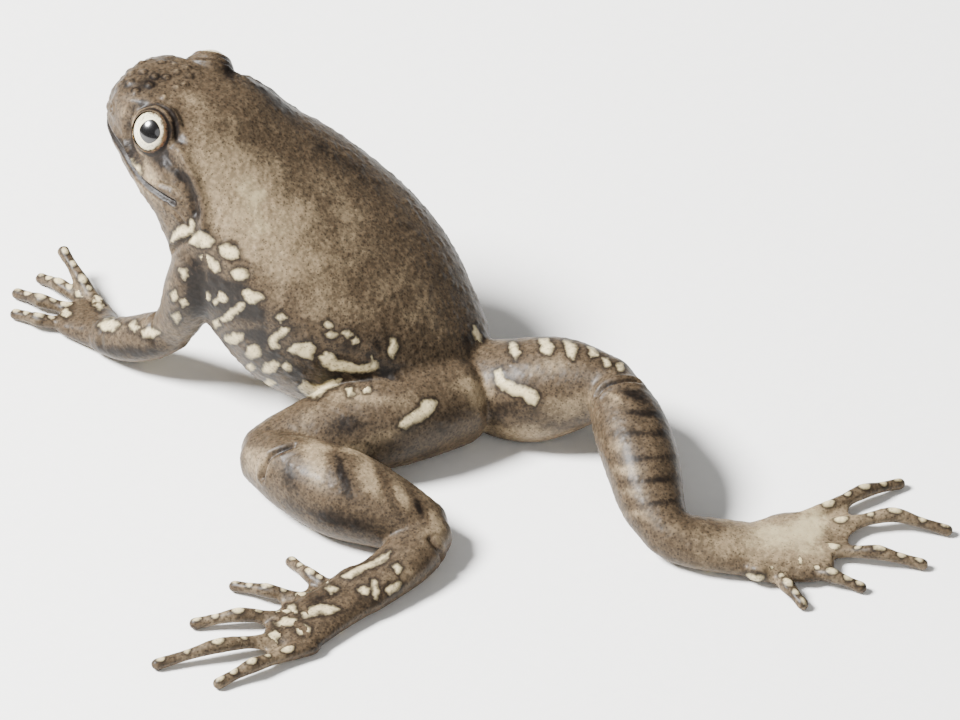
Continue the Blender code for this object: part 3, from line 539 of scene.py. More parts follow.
def ball(centre, radius, stretch, sides=28, rings=16):
    """Points and faces of a stretched ball."""
    verts = [(0, 0, 1)]
    for i in range(1, rings):
        turn = math.pi * i / rings
        for k in range(sides):
            angle = 2 * math.pi * k / sides
            verts.append((math.sin(turn) * math.cos(angle), math.sin(turn) * math.sin(angle), math.cos(turn)))
    verts.append((0, 0, -1))
    faces = [(0, 1 + k, 1 + (k + 1) % sides) for k in range(sides)]
    for i in range(rings - 2):
        here, below = 1 + i * sides, 1 + (i + 1) * sides
        for k in range(sides):
            n = (k + 1) % sides
            faces.append((here + k, below + k, below + n, here + n))
    base = 1 + (rings - 2) * sides
    faces += [(len(verts) - 1, base + (k + 1) % sides, base + k) for k in range(sides)]
    return np.array(verts) * radius * np.array(stretch) + np.array(centre), faces


def web(left, right, reach):
    """Thin skin between the roots of two neighbouring digits."""
    rows, steps = 9, 9
    top = []
    for r in range(rows):
        share = r / (rows - 1)
        length = reach * (1 - 0.5 * math.sin(math.pi * share))
        for s in range(steps):
            along = -0.3 + (length + 0.3) * s / (steps - 1)
            a = np.array(left[0]) + (np.array(left[1]) - np.array(left[0])) * along * 2
            b = np.array(right[0]) + (np.array(right[1]) - np.array(right[0])) * along * 2
            top.append(a + (b - a) * share)
    top = np.array(top)
    verts = np.vstack([top + (0, 0, 0.05), top - (0, 0, 0.3)])
    half = rows * steps
    faces = []
    for r in range(rows - 1):
        for s in range(steps - 1):
            a, b = r * steps + s, (r + 1) * steps + s
            faces.append((a, b, b + 1, a + 1))
            faces.append((half + a, half + a + 1, half + b + 1, half + b))
    edge = [r * steps for r in range(rows)] + [(rows - 1) * steps + s for s in range(1, steps)]
    edge += [r * steps + steps - 1 for r in range(rows - 2, -1, -1)] + list(range(steps - 2, 0, -1))
    for a, b in zip(edge, edge[1:] + edge[:1]):
        faces.append((a, half + a, half + b, b))
    return verts, faces


def looking(side, forward_deg, rise_deg):
    """A direction out of the left (1) or right (-1) side of the head, turned forward and upward."""
    forward, rise = math.radians(forward_deg), math.radians(rise_deg)
    flat = math.cos(rise)
    return Vector((side * flat * math.cos(forward), -flat * math.sin(forward), math.sin(rise)))


def turn_to(direction):
    """The turn that takes the upright axis to a direction."""
    return direction.to_track_quat("Z", "Y").to_matrix().to_4x4()


def eye_centre(side):
    """Middle of one eyeball."""
    return Vector((side * EYE_CENTRE[0], EYE_CENTRE[1], EYE_CENTRE[2]))


def nostril(side):
    """Middle of one nostril."""
    return (side * NOSTRIL[0], NOSTRIL[1], NOSTRIL[2])


def shift():
    """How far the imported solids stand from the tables' own origin, in millimetres."""
    low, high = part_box("eye_left")
    return (low + high) / 2 / MM - eye_centre(1)


def new_object(name, verts, faces):
    """A mesh object from points and faces."""
    mesh = bpy.data.meshes.new(name)
    mesh.from_pydata([tuple(v) for v in verts], [], faces)
    mesh.update()
    obj = bpy.data.objects.new(name, mesh)
    bpy.context.scene.collection.objects.link(obj)
    return obj


def bake(obj):
    """The object's modifiers made real."""
    bpy.context.view_layer.update()
    graph = bpy.context.evaluated_depsgraph_get()
    mesh = bpy.data.meshes.new_from_object(obj.evaluated_get(graph))
    old = obj.data
    obj.modifiers.clear()
    obj.data = mesh
    bpy.data.meshes.remove(old)


def read(mesh):
    """A mesh's points and normals as arrays."""
    co = np.zeros(len(mesh.vertices) * 3)
    mesh.vertices.foreach_get("co", co)
    normal = np.zeros(len(mesh.vertices) * 3, np.float32)
    mesh.vertex_normals.foreach_get("vector", normal)
    return co.reshape(-1, 3), normal.reshape(-1, 3).astype(float)


def write(mesh, co):
    """Points back into a mesh."""
    mesh.vertices.foreach_set("co", co.ravel())
    mesh.update()


def edges_of(mesh):
    """A mesh's edges as an array of pairs."""
    pairs = np.zeros(len(mesh.edges) * 2, np.int32)
    mesh.edges.foreach_get("vertices", pairs)
    return pairs.reshape(-1, 2)


def smooth(co, pairs, weight, rounds):
    """Points drawn towards their neighbours, each by its own weight."""
    picked = np.nonzero(weight > 0.01)[0]
    place = np.full(len(co), -1)
    place[picked] = np.arange(len(picked))
    both = place[pairs]
    both = both[(both >= 0).all(axis=1)]
    count = len(picked)
    degree = np.maximum(np.bincount(both.ravel(), minlength=count), 1).astype(float)
    part, pull = co[picked], weight[picked] * 0.5
    for _ in range(rounds):
        for axis in range(3):
            mean = (np.bincount(both[:, 0], part[both[:, 1], axis], count)
                    + np.bincount(both[:, 1], part[both[:, 0], axis], count)) / degree
            part[:, axis] += pull * (mean - part[:, axis])
    out = co.copy()
    out[picked] = part
    return out


def search_tree(points):
    """A search tree over points."""
    tree = KDTree(len(points))
    for i, point in enumerate(points):
        tree.insert(point, i)
    tree.balance()
    return tree


def surface(mesh, co):
    """A search tree over the skin's faces."""
    return BVHTree.FromPolygons([Vector(c) for c in co], [tuple(p.vertices) for p in mesh.polygons])


def flesh():
    """Every flesh form, left whole so that neighbours overlap: name, points and faces."""
    body = [(0.0, *station) for station in BODY]
    forms = [("body", *loft(body, *BODY_MESH, (2.25, 2.7), (0.6, 0.4)))]
    for name, table in LIMBS.items():
        rows = [(x, y, z, wide, high, high) for x, y, z, wide, high in table]
        square = 2.3 if name.startswith(("hand", "foot")) else 2.1
        forms.append((name, *loft(rows, *LIMB_MESH, (square, square))))
    for name, group in DIGITS.items():
        for number, points in enumerate(group):
            digit = loft(digit_table(points), *DIGIT_MESH, (2.0, 2.0), (1.0, 1.0))
            forms.append((f"{name}_{number + 1}", *digit))
        for left, right, reach in zip(group, group[1:], WEBS[name]):
            forms.append(("web", *web(left, right, reach)))
    for centre, radius, stretch in CUSHIONS:
        forms.append(("foot_cushion", *ball(centre, radius, stretch)))
    for side in (-1, 1):
        forms.append(("lid", *ball(eye_centre(side), LID_RADIUS, (1.0, 1.05, 1.0))))
    return forms


def fall(distance, radius):
    """A soft round fall-off."""
    return np.exp(-(distance / radius) ** 2)


def ease(value, low, high):
    """Nought below low, one above high, and smooth between."""
    share = np.clip((value - low) / (high - low), 0, 1)
    return share * share * (3 - 2 * share)


def distance(co, place):
    """Distance of each point from one place."""
    return np.linalg.norm(co - np.array(place), axis=1)


def groove(away, depth, width, lip, lip_away, lip_width):
    """Rise of the skin across a groove with lips beside it."""
    return lip * fall(away - lip_away, lip_width) - depth * fall(away, width)


def on_top(co, normal):
    """Which points lie on top of the head, where the warts are."""
    return (normal[:, 2] > 0.2) & (co[:, 2] > 19)


def line_distance(co, line, near=3.0):
    """Distance of each point from a line of points, counted only close to it."""
    line = np.array(line, float)
    best = np.full(len(co), 1e3)
    low, high = line.min(axis=0) - near, line.max(axis=0) + near
    picked = np.nonzero(((co > low) & (co < high)).all(axis=1))[0]
    part, found = co[picked], np.full(len(picked), 1e3)
    for a, b in zip(line, line[1:]):
        way = b - a
        share = np.clip(((part - a) @ way) / (way @ way), 0, 1)
        found = np.minimum(found, np.linalg.norm(part - (a + share[:, None] * way), axis=1))
    best[picked] = found
    return best


def laid(line, tree, side=1):
    """A line of points brought down onto the skin."""
    ends = [Vector((side * x, y, z)) for x, y, z in line]
    fine = [a.lerp(b, i / 6) for a, b in zip(ends, ends[1:]) for i in range(6)] + ends[-1:]
    return [tuple(tree.find_nearest(point)[0]) for point in fine]


def on_grid(co):
    """Where points lie on the drawing's grid."""
    across = GRID_MIDDLE[0] + co @ np.array(RIGHTWARD) / STEP
    return across, GRID_MIDDLE[1] - co @ np.array(UPWARD) / STEP


def inside(across, down, outlines, reach=12.0):
    """How deep each point lies inside the nearest outline, in millimetres; below nought outside."""
    best = np.full(len(across), -reach)
    for outline in outlines:
        points = np.array(outline, float)
        low, high = points.min(axis=0) - reach, points.max(axis=0) + reach
        box = (across > low[0]) & (across < high[0]) & (down > low[1]) & (down < high[1])
        picked = np.nonzero(box)[0]
        x, y = across[picked], down[picked]
        away = np.full(len(picked), reach)
        within = np.zeros(len(picked), bool)
        for a, b in zip(points, np.roll(points, -1, axis=0)):
            way = b - a
            share = np.clip(((x - a[0]) * way[0] + (y - a[1]) * way[1]) / (way @ way), 0, 1)
            away = np.minimum(away, np.hypot(x - a[0] - share * way[0], y - a[1] - share * way[1]))
            crossed = (a[1] > y) != (b[1] > y)
            if b[1] != a[1]:
                within ^= crossed & (x < a[0] + (y - a[1]) * way[0] / way[1])
        best[picked] = np.maximum(best[picked], np.where(within, away, -away))
    return best * STEP


def patches(across, down, table):
    """Soft lighter and darker patches added up: painted light and shade as well as real markings."""
    total = np.zeros(len(across))
    for u, v, long, wide, turn, amount in table:
        c, s = math.cos(math.radians(turn)), math.sin(math.radians(turn))
        x, y = across - u, down - v
        total += amount * np.exp(-((x * c + y * s) / long) ** 2 - ((y * c - x * s) / wide) ** 2)
    return total


def node(tree, kind, place, settings=None, inputs=None, out=0):
    """A shader node at a column and row, its settings made, its inputs set or linked; gives one output."""
    made = tree.nodes.new(kind)
    made.location = (place[0] * 200, place[1] * -200)
    for key, value in (settings or {}).items():
        setattr(made, key, value)
    for key, value in (inputs or {}).items():
        if isinstance(value, bpy.types.NodeSocket):
            tree.links.new(value, made.inputs[key])
        else:
            made.inputs[key].default_value = value
    return made.outputs[out] if made.outputs else None


def fresh_material(name):
    """A material with an empty tree."""
    mat = bpy.data.materials.new(name)
    mat.use_nodes = True
    mat.node_tree.nodes.clear()
    return mat, mat.node_tree


def layered(tree, place, colour, layers):
    """Colours laid over a first one: what drives each, from where to where, how it runs, strength, colour."""
    for step, (driver, low, high, run, strength, top) in enumerate(layers):
        column, row = place[0] + 2 * step, place[1]
        share = node(tree, RAMP, (column, row), run,
                     {"Value": driver, "From Min": low, "From Max": high, "To Max": strength})
        colour = node(tree, MIX, (column + 1, row), COLOUR, {0: share, 6: colour, 7: top}, 2)
    return colour


def tint(colour, share=1.0):
    """A colour as it is, or made lighter or darker, with the alpha that a node wants."""
    return (*[min(c * share, 1.0) for c in colour], 1.0)


def moist_frog_skin(colours):
    """Moist, finely grained frog skin: dull brown, dark between its grains, with a soft wet shine; its colour
    also carries painted light and shade laid by the tone attribute.
    """
    mat, tree = fresh_material("moist_frog_skin")
    where = node(tree, "ShaderNodeTexCoord", (0, 0), out="Object")
    pale, drawn, belly, hidden = [
        node(tree, "ShaderNodeAttribute", (0, row), {"attribute_name": key}, out="Fac")
        for row, key in enumerate(("pale", "tone", "belly", "hidden"), 1)]
    # The real skin's grains are about 0.36 mm apart, its dark dots 0.27 mm, the hidden side's spots 1.9 mm.
    grain, dots, spots = [
        node(tree, "ShaderNodeTexVoronoi", (1, row), {}, {"Vector": where, "Scale": 1 / (size * MM)})
        for row, size in enumerate((0.36, 0.27, 1.9))]
    # Mottling, clouds and the ragged edges of the blotches: width in millimetres, detail and roughness.
    fine, cloud, ragged = [
        node(tree, "ShaderNodeTexNoise", (1, row), {},
             {"Vector": where, "Scale": 1 / (size * MM), "Detail": detail, "Roughness": rough})
        for row, (size, detail, rough) in enumerate(((0.3, 2.0, 0.6), (2.4, 4.0, 0.6), (0.75, 2.5, 0.55)), 3)]
    drift = node(tree, MATH, (2, 0), TIMES_PLUS, {0: cloud, 1: 1.3, 2: -0.65})
    tone = node(tree, MATH, (3, 0), PLUS, {0: drawn, 1: drift})
    # Dark dots stand closer and wider where the skin is darker.
    width = node(tree, MATH, (4, 0), TIMES_PLUS, {0: tone, 1: -0.13, 2: 0.33})
    gap = node(tree, MATH, (5, 0), MINUS, {0: width, 1: dots})
    dot = node(tree, RAMP, (6, 0), SOFT, {"Value": gap, "From Min": -0.05, "From Max": 0.09, "To Max": 0.85})
    mottle = node(tree, RAMP, (2, 1), SOFT, {"Value": fine, "From Min": 0.4, "From Max": 0.62})
    back, light, shade, under = [
        node(tree, MIX, (3, row), COLOUR, {0: mottle, 6: tint(colour, low), 7: tint(colour, high)}, 2)
        for row, (colour, low, high) in enumerate((
            (colours.back, 0.8, 1.3), (colours.light, 0.8, 1.15),
            (colours.shade, 0.9, 1.7), (colours.belly, 0.85, 1.15)), 2)]
    # Hidden sides carry scattered pale spots about 0.8 mm across.
    far = node(tree, MATH, (2, 6), TIMES_PLUS, {0: spots, 1: -1.4, 2: hidden})
    far = node(tree, MATH, (3, 6), MINUS, {0: far, 1: 0.622})
    depth = node(tree, MATH, (4, 6), LARGER, {0: pale, 1: far})
    fray = node(tree, MATH, (4, 7), TIMES_PLUS, {0: ragged, 1: 0.6, 2: -0.3})
    depth = node(tree, MATH, (5, 6), PLUS, {0: depth, 1: fray})
    blotch = layered(tree, (6, 6), tint(colours.pale, 0.6), (
        (depth, -0.05, 0.3, SOFT, 1.0, tint(colours.pale, 1.1)),
        (mottle, 0.0, 1.0, EVEN, 0.5, tint(colours.pale, 0.65)),
        (dot, 0.0, 1.0, EVEN, 0.5, tint(colours.back, 1.2)),
    ))
    # The tone attribute lays painted light and shade as well as real markings: above nought towards the light
    # colour, higher still towards pale, below nought towards the shade colour.
    skin = layered(tree, (7, 1), back, (
        (tone, 0.0, 0.7, SOFT, 1.0, light),
        (tone, -0.05, -0.7, SOFT, 1.0, shade),
        (tone, 0.7, 1.3, SOFT, 0.8, tint(colours.pale, 0.8)),
        (belly, 0.0, 1.0, EVEN, 0.8, under),
        (dot, 0.0, 1.0, EVEN, 0.62, tint(colours.shade)),
        (depth, -0.5, -0.12, SOFT, 0.8, shade),
        (depth, -0.16, 0.12, SOFT, 1.0, blotch),
    ))
    # Wetter and drier patches of skin shine a little more or less.
    rough = node(tree, RAMP, (20, 2), EVEN, {"Value": cloud, "To Min": 0.38, "To Max": 0.62})
    weave = node(tree, MATH, (18, 3), TIMES, {0: fine, 1: 0.4})
    height = node(tree, MATH, (19, 3), TIMES_PLUS, {0: grain, 1: -1.0, 2: weave})
    bump = node(tree, "ShaderNodeBump", (20, 3), {},
                {"Strength": 0.4, "Distance": 0.045 * MM, "Height": height})
    # Water's own bend of light, and red light that travels half a millimetre into the flesh.
    shader = node(tree, "ShaderNodeBsdfPrincipled", (21, 1), {}, {
        "Base Color": skin, "Roughness": rough, "Normal": bump, "IOR": 1.36, "Specular IOR Level": 0.22,
        "Subsurface Weight": 0.1, "Subsurface Radius": (0.5 * MM, 0.3 * MM, 0.2 * MM),
        "Subsurface Scale": 1.0, "Coat Weight": 0.05, "Coat Roughness": 0.24})
    node(tree, "ShaderNodeOutputMaterial", (23, 1), {}, {"Surface": shader})
    return mat


def wet_frog_eye(colours):
    """A living eye: pale iris with a dark net and a painted lid shadow round its rim, black pupil, and the
    clear cornea's sharp shine.
    """
    mat, tree = fresh_material("wet_frog_eye")
    where = node(tree, "ShaderNodeTexCoord", (0, 0), out="Object")
    ring, hole = [
        node(tree, "ShaderNodeAttribute", (0, row), {"attribute_name": key}, out="Fac")
        for row, key in enumerate(("iris", "pupil"), 1)]
    # The iris's dark net has meshes about 0.2 mm wide, broken by flecks of 0.3 mm.
    net = node(tree, "ShaderNodeTexVoronoi", (1, 0), {"feature": "DISTANCE_TO_EDGE"},
               {"Vector": where, "Scale": 1 / (0.2 * MM)})
    flecks = node(tree, "ShaderNodeTexNoise", (1, 1), {},
                  {"Vector": where, "Scale": 1 / (0.3 * MM), "Detail": 3.0})
    line = node(tree, RAMP, (2, 0), SOFT, {"Value": net, "From Min": 0.09, "From Max": 0.02})
    breaks = node(tree, RAMP, (2, 1), SOFT,
                  {"Value": flecks, "From Min": 0.4, "From Max": 0.6, "To Max": 0.7})
    thread = node(tree, MATH, (3, 0), TIMES, {0: line, 1: breaks})
    uneven = node(tree, MATH, (2, 2), TIMES_PLUS, {0: flecks, 1: 0.25, 2: -0.125})
    edge = node(tree, MATH, (3, 2), PLUS, {0: ring, 1: uneven})
    base = layered(tree, (4, 0), tint(colours.iris), (
        (thread, 0.0, 1.0, EVEN, 1.0, tint(colours.iris_net_and_lid_shadow)),
        (hole, 1.25, 1.06, SOFT, 0.5, tint(colours.iris, 1.25)),
        # Painted lid shadow: the iris darkens towards the lid's margin.
        (edge, 0.75, 0.89, SOFT, 1.0, tint(colours.iris_net_and_lid_shadow)),
        (hole, 1.04, 0.98, SOFT, 1.0, tint(colours.pupil)),
    ))
    # The cornea bends light as a living one does, and its tear film is all but mirror smooth.
    shader = node(tree, "ShaderNodeBsdfPrincipled", (12, 0), {}, {
        "Base Color": base, "Roughness": 0.25, "IOR": 1.376, "Coat Weight": 1.0, "Coat Roughness": 0.02})
    node(tree, "ShaderNodeOutputMaterial", (14, 0), {}, {"Surface": shader})
    return mat


def matt_studio_board(colours):
    """Matt white studio board, which shows the frog's soft shadow and nothing else."""
    mat, tree = fresh_material("matt_studio_board")
    # Paper fibres about 1 mm long keep the board from looking like plain light.
    where = node(tree, "ShaderNodeTexCoord", (0, 0), out="Object")
    fibre = node(tree, "ShaderNodeTexNoise", (1, 0), {},
                 {"Vector": where, "Scale": 1 / (1.0 * MM), "Detail": 2.0})
    tone = node(tree, MIX, (2, 0), COLOUR,
                {0: fibre, 6: tint(colours.floor, 0.97), 7: tint(colours.floor, 1.02)}, 2)
    shader = node(tree, "ShaderNodeBsdfPrincipled", (3, 0), {},
                  {"Base Color": tone, "Roughness": 0.9, "Specular IOR Level": 0.2})
    node(tree, "ShaderNodeOutputMaterial", (5, 0), {}, {"Surface": shader})
    return mat


def mouth_line(tree):
    """Points of the mouth line on the skin, from one corner round the snout to the other."""
    points = []
    for step in range(-MOUTH_STEPS, MOUTH_STEPS + 1):
        share = step / MOUTH_STEPS
        turn = math.radians(MOUTH_SWEEP_DEG * share)
        height = float(np.interp(abs(share), MOUTH_SHARE, MOUTH_HEIGHT))
        outward = Vector((math.sin(turn) * 0.9, -math.cos(turn), 0)).normalized()
        hit = tree.ray_cast(Vector((0, MOUTH_MIDDLE_BACK, height)) + outward * 20, -outward)[0]
        if hit is None:
            raise RuntimeError("The mouth line misses the skin")
        points.append(tuple(hit))
    return points


def cut(skin, tool):
    """A closed form taken out of the skin."""
    mod = skin.modifiers.new("Cut", "BOOLEAN")
    mod.operation = "DIFFERENCE"
    mod.solver = "MANIFOLD"
    mod.object = tool
    bake(skin)
    bpy.data.objects.remove(tool)


def form(kind, matrix, **sizes):
    """A closed cutting form: a ball or a cone."""
    bm = bmesh.new()
    kind(bm, **sizes)
    bmesh.ops.transform(bm, matrix=matrix, verts=bm.verts)
    mesh = bpy.data.meshes.new("cutter")
    bm.to_mesh(mesh)
    bm.free()
    obj = bpy.data.objects.new("cutter", mesh)
    bpy.context.scene.collection.objects.link(obj)
    return obj


def around_eye(co, side):
    """Each point's angle from an eye's axis in degrees and its distance from the eye's centre."""
    way = co - np.array(eye_centre(side))
    length = np.linalg.norm(way, axis=1)
    cosine = way @ np.array(looking(side, EYE_FORWARD_DEG, EYE_RISE_DEG)) / np.maximum(length, 1e-6)
    return np.degrees(np.arccos(np.clip(cosine, -1, 1))), length


def open_eyes(skin):
    """Sockets and lid openings cut into the skin, with the lids drawn close around the eyeballs."""
    wall = EYE_RADIUS + SOCKET_ROOM
    for side in (-1, 1):
        centre, axis = eye_centre(side), looking(side, EYE_FORWARD_DEG, EYE_RISE_DEG)
        place = Matrix.Translation(centre) @ turn_to(axis)
        cut(skin, form(bmesh.ops.create_uvsphere, place, u_segments=96, v_segments=64, radius=wall))
        opening = Matrix.Translation(centre + axis * 2.3) @ turn_to(axis)
        opening = opening @ Matrix.Diagonal((1.0, 1.06, 1.0, 1.0))
        cut(skin, form(bmesh.ops.create_cone, opening, cap_ends=True, segments=96, radius1=LID_OPENING,
                       radius2=LID_OPENING * 1.3, depth=3.6))
    co = read(skin.data)[0]
    weight = np.zeros(len(co))
    for side in (-1, 1):
        angle, length = around_eye(co, side)
        thin = 0.24 + 0.76 * ease(angle, LID_MARGIN_DEG + 2, 98)
        shell = (length > wall + 0.02) & (length < LID_REACH)
        drawn = (wall + (length - wall) * thin) / np.maximum(length, 1e-6)
        factor = np.where(shell & (angle < 98), drawn, 1.0)
        centre = np.array(eye_centre(side))
        co = centre + (co - centre) * factor[:, None]
        weight = np.maximum(weight, np.where(shell, 1 - ease(angle, 68, 90), 0))
    write(skin.data, smooth(co, edges_of(skin.data), weight * 0.7, 5))


def sculpt(co, normal, tree, sizes, mouth, creases):
    """Folds, warts, lips, nostrils and creases moved into the skin's points."""
    rise = np.zeros(len(co))
    for x, y, z, radius, amount in SWELLS:
        rise += amount * fall(distance(co, (x, y, z)), radius)
    away = line_distance(co, mouth)
    upper = co[:, 2] > np.interp(-co[:, 1], *UPPER_LIP)
    rise -= sizes.mouth_depth / MM * fall(away, 0.19)
    rise += np.where(upper, 0.10 * fall(away - 0.42, 0.2) - 0.06 * fall(away - 0.95, 0.25),
                     0.08 * fall(away - 0.36, 0.18))
    for side in (-1, 1):
        rise += groove(distance(co, nostril(side)), *NOSTRIL_GROOVE)
        rise += 0.16 * fall(line_distance(co, laid(SNOUT_RIDGE, tree, side)), 0.5)
        cheek = tree.find_nearest(Vector((side * CHEEK_HOLLOW[0], CHEEK_HOLLOW[1], CHEEK_HOLLOW[2])))[0]
        rise -= 0.16 * fall(distance(co, cheek), 0.9)
        angle, length = around_eye(co, side)
        near = (length > EYE_RADIUS + 0.06) & (length < LID_REACH)
        for out, wide, amount in LID_RINGS:
            rise += near * amount * fall(angle - LID_MARGIN_DEG - out, wide)
        fold = sizes.fold_height / MM * (1.0 if side > 0 else 0.4)
        rise += fold * fall(line_distance(co, laid(EYE_FOLD, tree, side)), 0.42)
        rise -= 0.6 * fold * fall(line_distance(co, laid(EYE_HOLLOW, tree, side)), 0.36)
        for pleat in CORNER_PLEATS:
            rise += groove(line_distance(co, laid(pleat, tree, side)), *PLEAT_GROOVE)
        rise += groove(line_distance(co, laid(ARM_CREASE, tree, side)), *ARM_GROOVE)
    for crease, depth in zip(creases, CREASE_DEPTHS):
        rise += depth * groove(line_distance(co, crease), *LIMB_GROOVE)
    for x, y in WARTS:
        away = np.hypot(co[:, 0] - x, co[:, 1] - y)
        rise += np.where(on_top(co, normal), sizes.wart_height / MM * fall(away, 0.25), 0)
    return co + normal * rise[:, None]


def scatter_grains(co, normal, body, sizes, mouth):
    """Small grains of skin scattered over the back and flanks, and lower ones over the limbs."""
    chance = np.random.RandomState(GRAIN_SEED)
    tree = search_tree(co)
    rise = np.zeros(len(co))
    for i in chance.choice(len(co), GRAIN_COUNT, replace=False):
        radius = chance.uniform(*GRAIN_RADIUS)
        height = sizes.grain_rise / MM * chance.uniform(0.4, 1.0) * (1.0 if body[i] else 0.6)
        # No grain grows beside the floor or on the lips.
        if co[i, 2] < 1.0 or line_distance(co[i:i + 1], mouth)[0] < 0.5:
            continue
        for _, k, away in tree.find_range(co[i], radius * 1.6):
            rise[k] = max(rise[k], height * math.exp(-(away / radius) ** 2))
    for side in (-1, 1):
        angle, length = around_eye(co, side)
        rise *= 1 - (1 - ease(angle, 64, 80)) * (length < LID_REACH)
    return co + normal * rise[:, None]


def part_names(co, forms):
    """The flesh form that each point of the skin belongs to."""
    tables = [(name, points[::7]) for name, points, _ in forms if name not in ("lid", "web")]
    owner = np.concatenate([np.full(len(points), i) for i, (_, points) in enumerate(tables)])
    tree = search_tree(np.vstack([points for _, points in tables]))
    part = np.array([owner[tree.find(point)[1]] for point in co])
    return np.array([name for name, _ in tables])[part]


def digit_spots(co, names):
    """How deep each point lies inside a pale spot on top of a digit's joint."""
    best = np.full(len(co), -1.0)
    for label, group in DIGITS.items():
        for number, points in enumerate(group):
            picked = np.nonzero(names == f"{label}_{number + 1}")[0]
            ends = np.array(points, float)
            for segment, share, long, wide in DIGIT_SPOTS:
                start, whole = ends[segment], ends[segment + 1] - ends[segment]
                way = whole / np.linalg.norm(whole)
                across = np.cross(way, (0, 0, 1))
                across /= np.linalg.norm(across)
                offset = co[picked] - (start + whole * share)
                depth = (1 - np.sqrt((offset @ way / long) ** 2 + (offset @ across / wide) ** 2)) * wide
                depth = np.where(depth < 0, depth * 1.9, depth)
                best[picked] = np.maximum(best[picked], np.where(offset[:, 2] > 0, depth, -1.0))
    return best


def keep(mesh, values):
    """Named values of each point, kept on the mesh for its material."""
    for key, row in values.items():
        layer = mesh.attributes.new(key, "FLOAT", "POINT")
        layer.data.foreach_set("value", row.astype(np.float32))


def mark(skin, co, normal, names, mouth, creases):
    """Blotch depth, tone (real markings together with painted light and shade), belly and hidden-side shares
    of each point, kept for the skin's material.
    """
    body = names == "body"
    digit = np.char.startswith(names, "finger") | np.char.startswith(names, "toe")
    sights = []
    for turn in (np.ones(3), np.array((-1.0, 1.0, 1.0))):
        facing = (normal * turn) @ np.array(TOWARD)
        across, down = on_grid(co * turn)
        deep = np.where(body, inside(across, down, FLANK_BLOTCHES), inside(across, down, LIMB_BLOTCHES))
        deep = np.minimum(deep, (facing + 0.04) * 1.5)
        # Soft patches: real markings together with painted light over the lit shoulder, flank and shanks and
        # painted shade on the far and lower sides.
        soft = np.where(body, patches(across, down, BODY_MARKS_PAINTED_LIGHT_AND_SHADE), 1.2 * patches(across, down, LIMB_MARKS_PAINTED_LIGHT_AND_SHADE))
        sights.append((facing, deep, soft * ease(facing, -0.25, 0.15)))
    # The body's far side carries the near side's markings and painted light and shade wherever the drawing
    # doesn't show it.
    facing = sights[0][0]
    far = np.where(body & (co[:, 0] < 0), 1 - ease(facing, -0.02, 0.2), 0.0)
    pale = np.where(far > 0.5, sights[1][1], sights[0][1])
    pale = np.clip(np.where(digit, digit_spots(co, names), pale), -1.0, 1.0)
    tone = sights[0][2] * (1 - far) + sights[1][2] * far
    facing = np.where(far > 0.5, sights[1][0], facing)
    tone += np.where(digit, 0.2, 0.0)
    # Painted shade in the mouth line's groove.
    tone -= 2.4 * fall(line_distance(co, mouth), 0.25)
    # Painted shade in the limbs' creases.
    for crease, depth in zip(creases, CREASE_DEPTHS):
        tone -= 2.6 * depth * fall(line_distance(co, crease), 0.3)
    # Painted highlight on each wart's top and painted shade in a ring round its foot.
    for x, y in WARTS:
        away = np.hypot(co[:, 0] - x, co[:, 1] - y)
        tone += np.where(on_top(co, normal), 0.4 * fall(away, 0.17) - 0.3 * fall(away - 0.34, 0.1), 0)
    for side in (-1, 1):
        # Painted shade in the hollow below the fold from each eye to the shoulder.
        tone -= 0.75 * fall(line_distance(co, [(side * x, y, z) for x, y, z in EYE_HOLLOW]), 0.55)
        angle, length = around_eye(co, side)
        near = (length < 2.75) * (1.0 if side > 0 else 0.3)
        # Painted shade at the lid margin and in the groove beyond it, and a pale ring on the lid's rim.
        for out, wide, amount in LID_RING_TONES:
            tone += near * amount * fall(angle - LID_MARGIN_DEG - out, wide)
        # Painted shade in each nostril.
        tone -= fall(distance(co, nostril(side)), 0.26)
    belly = ease(-normal[:, 2], 0.35, 0.8) * np.where(body, 1.0, 0.7)
    hidden = ease(-facing, -0.05, 0.25) * np.where(digit, 0.0, 1.0)
    keep(skin.data, {"pale": pale, "tone": np.clip(tone, -1.5, 1.5), "belly": belly, "hidden": hidden})
    return pale


def flowed_skin(forms, sizes):
    """One skin over all the flesh forms, with the places where they meet smoothed into each other."""
    verts, faces, start = [], [], 0
    for _, points, polygons in forms:
        verts.append(points)
        faces += [tuple(i + start for i in face) for face in polygons]
        start += len(points)
    skin = new_object("skin", np.vstack(verts), faces)
    mod = skin.modifiers.new("Flow together", "REMESH")
    mod.mode = "VOXEL"
    mod.voxel_size = sizes.skin_step / MM
    bake(skin)
    if not skin.data.vertices:
        raise RuntimeError("The skin came out empty")
    co = read(skin.data)[0]
    pairs = edges_of(skin.data)
    co = smooth(co, pairs, np.ones(len(co)), sizes.smoothing)
    weight = np.zeros(len(co))
    for x, y, z, radius in JOINS:
        weight = np.maximum(weight, fall(distance(co, (x, y, z)), radius))
    write(skin.data, smooth(co, pairs, weight, JOIN_ROUNDS))
    return skin


